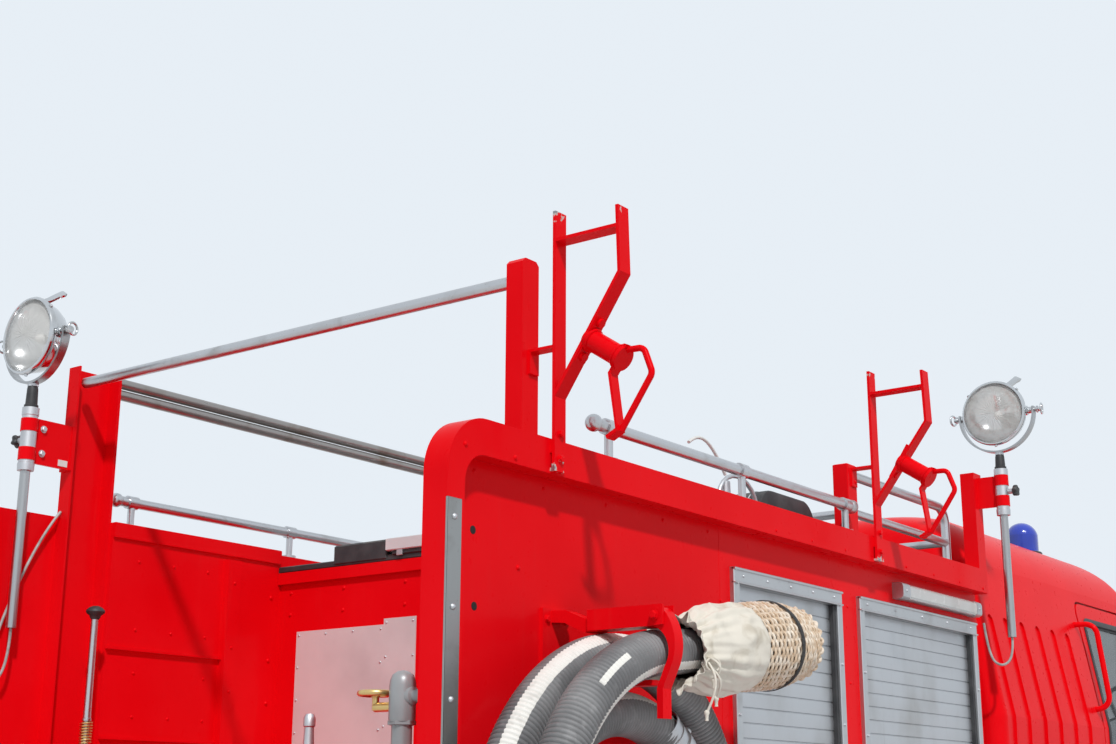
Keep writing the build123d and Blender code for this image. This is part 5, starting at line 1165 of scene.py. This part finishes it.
# Recess: wall clamp, standpipe, branch pipe and hand lever in place of the plain solids
pipe = {"x": -0.888, "y": 2.880, "foot": 1.250, "arm": 1.785, "bolts": (1.736, 1.834)}
fittings = Forge()
fittings.lathe((pipe["x"], pipe["y"], pipe["foot"]), up, [
    (0, 0.040), (0.012, 0.040), (0.014, 0.0265), (0.470, 0.0265), (0.472, 0.0335), (0.480, 0.0345),
    (0.560, 0.0345), (0.575, 0.0325), (0.588, 0.0270), (0.596, 0.0160), (0.599, 0.0040),
], 36)
nutProfile = [(0, 0.028), (0.002, 0.036), (0.012, 0.036), (0.014, 0.028)]
fittings.lathe((pipe["x"], pipe["y"], pipe["foot"] + 0.462), up, nutProfile, 6)
armProfile = [(0, 0.024), (0.012, 0.022), (0.016, 0.0155), (0.070, 0.0155), (0.074, 0.020), (0.088, 0.022)]
fittings.lathe((pipe["x"] - 0.026, pipe["y"], pipe["arm"]), (-1, 0, 0), armProfile, 28)
flange = []
for depth, radius in ((0.0, 0.027), (0.010, 0.027), (0.014, 0.023)):
    ring = []
    for turn in turns(48):
        rise = math.copysign(0.049, math.sin(turn)) + radius * math.sin(turn)
        waist = radius * math.cos(turn) * (1.0 - 0.25 * max(0.0, 1 - abs(rise) / 0.03))
        ring.append(Vector((-1.0175 + depth, pipe["y"] + waist, pipe["arm"] + rise)))
    flange.append(ring)
fittings.rings(flange)
for z in pipe["bolts"]:
    fittings.bolt((-1.004, pipe["y"], z), (1, 0, 0), 0.0115)
    fittings.lathe((-1.004, pipe["y"], z), (1, 0, 0), [(0.010, 0.0060), (0.022, 0.0060), (0.023, 0.0045)], 12)
fittings.piece("standpipe_and_clamp", "stainless", ["pipeGrey"], 38, replaced=["recess_fittings"])
branch = Forge()
branch.lathe((-0.080, 2.400, pipe["foot"]), up, [
    (0, 0.040), (0.008, 0.042), (0.038, 0.042), (0.050, 0.030), (0.060, 0.026), (0.150, 0.0245),
    (0.155, 0.0275), (0.170, 0.0275), (0.175, 0.0240), (0.300, 0.0225), (0.440, 0.0175), (0.500, 0.0145),
    (0.504, 0.0185), (0.528, 0.0185), (0.534, 0.0155), (0.540, 0.0125), (0.540, 0.0095), (0.500, 0.0090),
], 32)
branch.piece("branch_pipe", "stainless", ["castAlloy"])
lever = Forge()
leverFoot, leverTop = Vector((0.862, 2.500, pipe["foot"])), Vector((0.858, 2.500, 2.150))
leverWay = (leverTop - leverFoot).normalized()
lever.lathe(leverFoot, leverWay, [
    (0, 0.030), (0.012, 0.030), (0.014, 0.017), (0.455, 0.017), (0.458, 0.021), (0.466, 0.021),
    (0.468, 0.0105), (0.540, 0.0105), (0.542, 0.016), (0.550, 0.016), (0.552, 0.0135), (0.600, 0.0130),
    (0.885, 0.0120),
])
spring = {"turns": 8, "steps": 16, "start": 0.468, "length": 0.072, "radius": 0.0185, "wire": 0.0034}
coilPath = []
for share in spread(0, 1, spring["turns"] * spring["steps"] + 1):
    turn = 2 * math.pi * spring["turns"] * share
    centre = leverFoot + leverWay * (spring["start"] + spring["length"] * share)
    coilPath.append(centre + Vector((math.cos(turn), math.sin(turn), 0)) * spring["radius"])
lever.tube(coilPath, spring["wire"], 8, 1)
lever.lathe(leverTop - leverWay * 0.022, leverWay, [
    (0, 0.0130), (0.004, 0.0160), (0.014, 0.0200), (0.020, 0.0290), (0.026, 0.0320), (0.032, 0.0305),
    (0.040, 0.0220), (0.045, 0.0110), (0.046, 0.002),
], 32, 2)
lever.piece("hand_lever", "stainless", ["tubeSteel", "brass", "darkPlastic"])

# Rivets of the steel plates and of the walls in the recess
wallRivets, steelRivets = Forge(), Forge()
for low, high, top, columns in ((0.232, 0.389, 2.188, 2), (0.389, 0.838, 2.167, 4)):
    foot, top = 1.305, top - 0.015
    spots = [(x, z) for x in spread(low + 0.014, high - 0.014, columns) for z in (foot, top)]
    spots += [(x, z) for z in spread(foot, top, 8)[1:-1] for x in (low + 0.012, high - 0.012)]
    for x, z in spots:
        steelRivets.rivet((x, 1.575, z), aft, 0.0045)
steelRivets.piece("recess_plate_rivets", "stainless", ["castAlloy"])
for x in (-0.95, -0.64, -0.33, -0.02, 0.20, 0.29, 0.60, 0.88):
    for z in (2.235, 2.318):
        wallRivets.rivet((x, 1.572, z), aft, 0.007)
for z in (1.40, 1.62, 1.90, 2.06, 2.30):
    wallRivets.rivet((0.942, 1.620, z), (-1, 0, 0), 0.008)
    wallRivets.rivet((0.912, 1.835, z + 0.03), (-1, 0, 0), 0.006)
for y in (1.94, 2.10, 2.26):
    for z in (1.66, 1.82, 1.97, 2.12, 2.36):
        if (y, z) != (2.10, 1.97):
            wallRivets.rivet((0.942, y + 0.02 * math.sin(z * 40), z), (-1, 0, 0), 0.006)
wallRivets.piece("recess_wall_rivets", "red_paint", ["redPaint"])

# Deck edge over the recess: painted fascia and rubber trim
edge = Forge()
edge.block((-1.016, 1.5835, 2.352), (0.940, 1.5875, 2.398), 0, 0.001)
edge.block((-1.016, 1.5700, 2.397), (0.940, 1.5890, 2.4215), 1, 0.004)
edge.piece("deck_edge_trim", "red_paint", ["redPaint", "darkPlastic"], 30)

# Gear on the deck: folded mat, plate and capsule case with its straps
gearSettings = {"folds": 9, "foldGap": 0.0172}
case = {"y": 0.950, "z": 2.505, "halfLength": 0.110, "radius": 0.0895, "straps": (-0.90, -0.79)}
matLeft, matRight, plateRight, deck = 0.640, 0.372, 0.080, 2.4155


def caseRing(x, radius):
    return [Vector((
        x, case["y"] + math.copysign(case["halfLength"], math.cos(turn)) + radius * math.cos(turn),
        case["z"] + radius * math.sin(turn),
    )) for turn in turns(48)]


gear = Forge()
for number in range(gearSettings["folds"]):  # the last fold hangs over the edge rubber
    low = 1.430 + gearSettings["foldGap"] * number
    foot = deck if number < gearSettings["folds"] - 1 else 2.407
    gear.block((matRight, low, foot), (matLeft, low + 0.0166, 2.4785 - 0.0012 * (number % 2)), 0, 0.003)
for corner, opposite, mark, chamfer in (
    ((matRight, 1.430, 2.4710), (matLeft, 1.5846, 2.4795), 0, 0.002),
    ((matRight, 1.5800, 2.4050), (matLeft, 1.5935, 2.4760), 0, 0.004),
    ((plateRight + 0.02, 1.3915, deck), (matRight - 0.030, 1.5960, 2.4340), 0, 0.004),
    ((plateRight - 0.004, 1.3805, 2.4330), (matRight - 0.004, 1.6040, 2.4780), 3, 0.003),
    ((0.121, 1.595, 2.412), (0.149, 1.6010, 2.440), 1, 0.001),
    ((0.286, 1.595, 2.412), (0.314, 1.6010, 2.440), 1, 0.001),
):
    gear.block(corner, opposite, mark, chamfer)
caseEnds = (
    (-0.9595, -0.010), (-0.955, -0.002), (-0.948, 0.0), (-0.742, 0.0), (-0.735, -0.002), (-0.7305, -0.010),
)
gear.rings([caseRing(x, case["radius"] + grow) for x, grow in caseEnds])
for x in case["straps"]:
    gear.tube(caseRing(x, case["radius"] + 0.001), 0.0022, 6, 2, True)
gearFinishes = ["darkPlastic", "frameAlloy", "castAlloy", "dullPlate"]
gear.piece("deck_gear_dressed", "dark_plastic", gearFinishes, 35, replaced=["roof_gear"])

hoop = Forge()  # fixed cable guide on the deck by the right rail
hoop.block((-0.990, 1.300, 2.412), (-0.900, 1.420, 2.430), 1, 0.003)
hoopFoot = [(0, 0.030), (0.060, 0.026), (0.066, 0.018), (0.150, 0.016), (0.155, 0.008)]
hoop.lathe((-0.945, 1.360, 2.428), up, hoopFoot, 24, 1)
hoop.tube([
    (-0.945 - 0.020 * share, 1.360 + 0.26 * share, 2.560 + 0.135 * math.sin(math.pi * (0.10 + 0.62 * share)))
    for share in spread(0, 1, 25)
], 0.0055)
hoop.tube([
    (-0.945, 1.280 + 0.13 * math.cos(math.pi * share), 2.500 + 0.110 * math.sin(math.pi * share))
    for share in spread(0, 1, 13)
], 0.008, 10, 1)
hoop.piece("aerial_lead_guide", "stainless", ["whitePlate", "castAlloy"], 50)
sleeve = Forge()
sleeve.block((-1.0195, 0.5235, 2.4155), (-0.9575, 0.5965, 2.7665), 0, 0.003)
for y, z in ((0.545, 2.70), (0.575, 2.62)):
    sleeve.bolt((-1.0195, y, z), (-1, 0, 0), 0.009)
sleeve.piece("guard_post_sleeve", "red_paint", ["redPaint"], 35)
print("recess and deck dressed")

# Area lights: rounded housing with a glass face, end caps and screws
capSection = [
    (1.042, 2.288), (1.074, 2.288), (1.086, 2.296), (1.088, 2.304),
    (1.088, 2.334), (1.084, 2.344), (1.074, 2.350), (1.042, 2.350),
]
bodySection = [
    (1.042, 2.290), (1.066, 2.290), (1.072, 2.294), (1.073, 2.304),
    (1.073, 2.334), (1.071, 2.342), (1.066, 2.348), (1.042, 2.348),
]
glassSection = [
    (1.062, 2.292), (1.080, 2.293), (1.0865, 2.300), (1.0875, 2.319), (1.0865, 2.338), (1.080, 2.345),
    (1.062, 2.346),
]
areaParts = ((-0.444, -0.395, capSection), (-0.395, 0.245, bodySection), (0.245, 0.311, capSection))
areaHousing, areaGlass = Forge(), Forge()
for side in (-1, 1):
    for start, end, section in areaParts:
        areaHousing.prism(side, section, (start + 0.0006, end - 0.0006))
    areaGlass.prism(side, glassSection, (-0.394, 0.244))
    for y in (-0.42, 0.278):
        areaHousing.rivet((side * 1.0875, y, 2.319), (side, 0, 0), 0.006)
    areaHousing.tube([(side * 1.060, -0.36, 2.319), (side * 1.060, 0.21, 2.319)], 0.010, 12, 1)
areaFinishes = ["frameAlloy", "whitePlate"]
areaHousing.piece("area_light_housings", "stainless", areaFinishes, 35, replaced=["area_lights"])
areaGlass.piece("area_light_glass", "stainless", ["lampGlass"], 35)

# Rear left post: buffers, rivets, bracket bolts and a bare label
postFace = Forge()
bufferProfile = [(0, 0.016), (0.006, 0.016), (0.010, 0.012), (0.024, 0.013), (0.028, 0.010)]
for z in (2.10, 1.94):
    postFace.lathe((1.004, 2.9705, z), aft, bufferProfile)
for z in (2.21, 2.02, 1.86, 1.70):
    postFace.rivet((1.036, 2.970, z), aft, 0.0065, 1)
    postFace.rivet((1.078, 2.970, z - 0.08), aft, 0.0065, 1)
for z in (2.765, 2.680):
    postFace.bolt((0.9625, 2.695, z), (-1, 0, 0), 0.010, 1)
postFace.block((0.9612, 2.588, 2.650), (0.9635, 2.626, 2.672), 2, 0.0004)
postFace.piece("rear_post_buffers", "dark_plastic", ["darkPlastic", "castAlloy", "whitePlate"])

# Body rivets, drain holes and seams, seated on the skin
bodyRivets, drainHoles, seams = Forge(), Forge(), Forge()
rivetRows = [(2.360, y, 0.0060) for y in (2.80, 2.50, 2.20, 1.90, 1.64)]  # z, y, radius
for z in (2.15, 1.85, 1.55, 1.25, 0.95):
    rivetRows += [(z, 1.572, 0.0060), (z, 2.850, 0.0060)]
for z in (2.22, 1.95, 1.68, 1.41, 1.14, 0.87):
    rivetRows += [(z, 0.690, 0.0060), (z, -0.468, 0.0065)]
rivetRows += [(2.405, y, 0.0055) for y in (0.55, 0.30, 0.05, -0.20, -0.44, 1.30, 1.05, 0.80)]
cornerRivets = [(z, y, 0.0075) for y, z in ((2.905, 2.405), (2.700, 2.405), (2.900, 2.300), (2.610, 2.130))]
for side, rows in ((-1, rivetRows), (1, rivetRows), (-1, cornerRivets)):
    for z, y, radius in rows:
        spot, out = atSide(side, y, z, "body_sides")
        if abs(spot.x) > 0.9:
            bodyRivets.rivet(spot - out * 0.0006, out, radius)
bodyRivets.piece("body_rivets", "red_paint", ["redPaint"])
# the drain holes are near-black discs: painted shade of the holes' insides
for y, z in ((2.800, 2.205), (2.790, 2.010)):
    spot, out = atSide(-1, y, z, "body_sides")
    drainHoles.lathe(spot - out * 0.0004, out, [(0, 0.0115), (0.0012, 0.0110), (0.0014, 0.002)], 20)
drainHoles.piece("panel_drain_holes", "red_paint", ["paintedShadeBlack"])
for side in (-1, 1):
    seams.block((side * 1.0415, 1.568, 0.62), (side * 1.0428, 1.576, 2.388), 0, 0.0003)
seams.piece("panel_seams", "red_paint", ["redPaint"], 30)

# Ladder brackets: rings round the lock barrels, and bolts; bolts of the hose rack
lockRings = Forge()
lockWay = Vector((-0.83, 0, -0.558)).normalized()
lockUp = lockWay.cross(Vector(aft))
for centreY in (2.523, 0.552):
    for share in (0.018, 0.122):
        middle = Vector((-1.212, centreY, 2.756)) + lockWay * share
        lockRings.tube([
            middle + (Vector(aft) * math.cos(turn) + lockUp * math.sin(turn)) * 0.0315 for turn in turns(24)
        ], 0.0048, 8, 0, True)
    for z in (2.43, 2.50):
        lockRings.bolt((-1.1160, centreY, z), (-1, 0, 0), 0.010)
lockRings.piece("ladder_bracket_fixings", "red_paint", ["bracketPaint"])
rackBolts = Forge()
for side in (-1, 1):
    rackBolts.bolt((-1.391, 2.452 + side * 0.0355, 1.9937), (0, side, 0), 0.0105)
for z in (1.872, 2.005, 1.710, 1.800):
    for y in (2.410, 2.494):
        rackBolts.bolt((-1.0520, y, z), (-1, 0, 0), 0.0085)
rackBolts.piece("hose_rack_bolts", "red_paint", ["redPaint"])
print("body details made")

# Seats: crowned covers over foam, with sewn channels
cushionSettings = {
    "cuts": 15, "roundness": 7.0, "thinner": 0.985, "seamDepth": 0.008, "seamWidth": 0.010, "pull": 0.010,
}


def cushion(name, low, high, thin, crown, channels):
    low, high = Vector(low), Vector(high)
    middle, half = (low + high) / 2, (high - low) / 2
    mesh = bmesh.new()
    bmesh.ops.create_cube(mesh, size=2.0)
    bmesh.ops.subdivide_edges(mesh, edges=mesh.edges[:], cuts=cushionSettings["cuts"], use_grid_fill=True)
    others = [axis for axis in range(3) if axis != thin]
    power = cushionSettings["roundness"]
    for vertex in mesh.verts:
        length = sum(abs(value) ** power for value in vertex.co) ** (1 / power)
        place = [value / max(length, 1e-6) for value in vertex.co]
        swell = (1 - place[others[0]] ** 2) * (1 - place[others[1]] ** 2)
        spot = [middle[axis] + half[axis] * place[axis] for axis in range(3)]
        spot[thin] = middle[thin] + half[thin] * place[thin] * cushionSettings["thinner"]
        above = place[thin] > 0
        spot[thin] -= (1 - swell) * crown * (1 if above else -0.25) * abs(place[thin])
        for channel in channels:
            distance = (place[0] - channel) * half[0]
            seam = math.exp(-(distance / cushionSettings["seamWidth"]) ** 2) * min(1.0, swell * 2)
            if abs(place[thin]) > 0.6:
                spot[thin] -= cushionSettings["seamDepth"] * seam * (1 if above else -1)
        for axis, other in (others, others[::-1]):
            pull = cushionSettings["pull"] * (1 - place[thin] ** 2) * (1 - place[other] ** 2)
            spot[axis] -= pull * (1 if place[axis] > 0 else -1) * abs(place[axis]) ** 3
        vertex.co = spot
    data = bpy.data.meshes.new(name)
    mesh.to_mesh(data)
    mesh.free()
    data.materials.append(finishOf["seatVinyl"])
    data.shade_smooth()
    made = mounted(placed(name, data), replaced=["seats"])
    smooth = made.modifiers.new("soft", "SUBSURF")
    smooth.levels = 1
    smooth.render_levels = 1


seatChannels, benchChannels = (-0.45, 0.0, 0.45), (-0.75, -0.5, -0.25, 0.0, 0.25, 0.5, 0.75)
seatRows = {  # cushion low and high, back low and high, base low and high, channels
    "seat_left": (
        (0.330, -2.150, 1.382), (0.790, -1.690, 1.500), (0.340, -1.760, 1.445), (0.780, -1.640, 2.060),
        (0.370, -2.110, 1.090), (0.750, -1.730, 1.386), seatChannels,
    ),
    "seat_right": (
        (-0.790, -2.150, 1.382), (-0.330, -1.690, 1.500), (-0.780, -1.760, 1.445), (-0.340, -1.640, 2.060),
        (-0.750, -2.110, 1.090), (-0.370, -1.730, 1.386), seatChannels,
    ),
    "bench": (
        (-0.880, -1.120, 1.382), (0.880, -0.660, 1.500), (-0.860, -0.730, 1.445), (0.860, -0.612, 2.060),
        (-0.840, -1.080, 1.090), (0.840, -0.700, 1.386), benchChannels,
    ),
}
bases = Forge()
for name, (low, high, backLow, backHigh, baseLow, baseHigh, channels) in seatRows.items():
    cushion(name + "_cushion", low, high, 2, 0.018, channels)
    cushion(name + "_back", backLow, backHigh, 1, 0.016, channels)
    bases.block(baseLow, baseHigh, 0, 0.012)
bases.piece("seat_bases", "seat_vinyl", ["darkPlastic"], 35)
print("seats made")

# Camera, lights and floor
cameraSettings = {
    "place": Vector((-3.6837, 5.9865, 1.5)),
    "ahead": Vector((0.57579, -0.77411, 0.26310)).normalized(),
    "up": Vector((-0.15396, 0.21337, 0.96476)),
    "lens": 52.25,
    "sensor": 36,
    "sight": 200,
}
cameraData = bpy.data.cameras.new("view camera")
cameraData.lens = cameraSettings["lens"]
cameraData.sensor_width = cameraSettings["sensor"]
cameraData.clip_end = cameraSettings["sight"]
camera = placed("view camera", cameraData)
back = -cameraSettings["ahead"]
right = cameraSettings["up"].cross(back).normalized()
turned = Matrix((right, back.cross(right), back)).transposed().to_4x4()
camera.matrix_world = Matrix.Translation(cameraSettings["place"]) @ turned
bpy.context.scene.camera = camera

lightSettings = {
    "sunStrength": 2.5, "sunAngle": 3, "sunAhead": Vector((0.51, -0.47, -0.72)),
    "shown": (0.80, 0.86, 0.92), "lit": (0.97, 0.985, 1.0), "litStrength": 0.44,
}
sunData = bpy.data.lights.new("key light", "SUN")
sunData.energy = lightSettings["sunStrength"]
sunData.angle = math.radians(lightSettings["sunAngle"])
sun = placed("key light", sunData)
sun.rotation_euler = lightSettings["sunAhead"].to_track_quat("-Z", "Y").to_euler()

world = bpy.data.worlds.new("studio")
world.use_nodes = True
bpy.context.scene.world = world
tree = world.node_tree
tree.nodes.clear()
rays = tree.nodes.new("ShaderNodeLightPath")
either, mirrored = (tree.nodes.new("ShaderNodeMath") for _ in range(2))
lit, shown = (tree.nodes.new("ShaderNodeBackground") for _ in range(2))
choice = tree.nodes.new("ShaderNodeMixShader")
output = tree.nodes.new("ShaderNodeOutputWorld")
either.operation = mirrored.operation = "MAXIMUM"
for background, tint, strength in ((shown, "shown", 1.0), (lit, "lit", lightSettings["litStrength"])):
    background.inputs["Color"].default_value = (*lightSettings[tint], 1)
    background.inputs["Strength"].default_value = strength
for source, target in (
    (rays.outputs["Is Camera Ray"], either.inputs[0]),
    (rays.outputs["Is Transmission Ray"], either.inputs[1]),
    (either.outputs[0], mirrored.inputs[0]), (rays.outputs["Is Glossy Ray"], mirrored.inputs[1]),
    (mirrored.outputs[0], choice.inputs[0]), (lit.outputs[0], choice.inputs[1]),
    (shown.outputs[0], choice.inputs[2]), (choice.outputs[0], output.inputs["Surface"]),
):
    tree.links.new(source, target)

plainColour("paleFloor", (0.74, 0.75, 0.76), (0.71, 0.72, 0.73), 0.8, 2.0)
floorHalf = 40
floorData = bpy.data.meshes.new("floor")
floorCorners = [(x * floorHalf, y * floorHalf, 0) for x, y in ((-1, -1), (1, -1), (1, 1), (-1, 1))]
floorData.from_pydata(floorCorners, [], [(0, 1, 2, 3)])
floorData.materials.append(finishOf["paleFloor"])
floor = placed("floor", floorData)
bpy.context.scene.view_settings.view_transform = "Standard"
print("stage set")
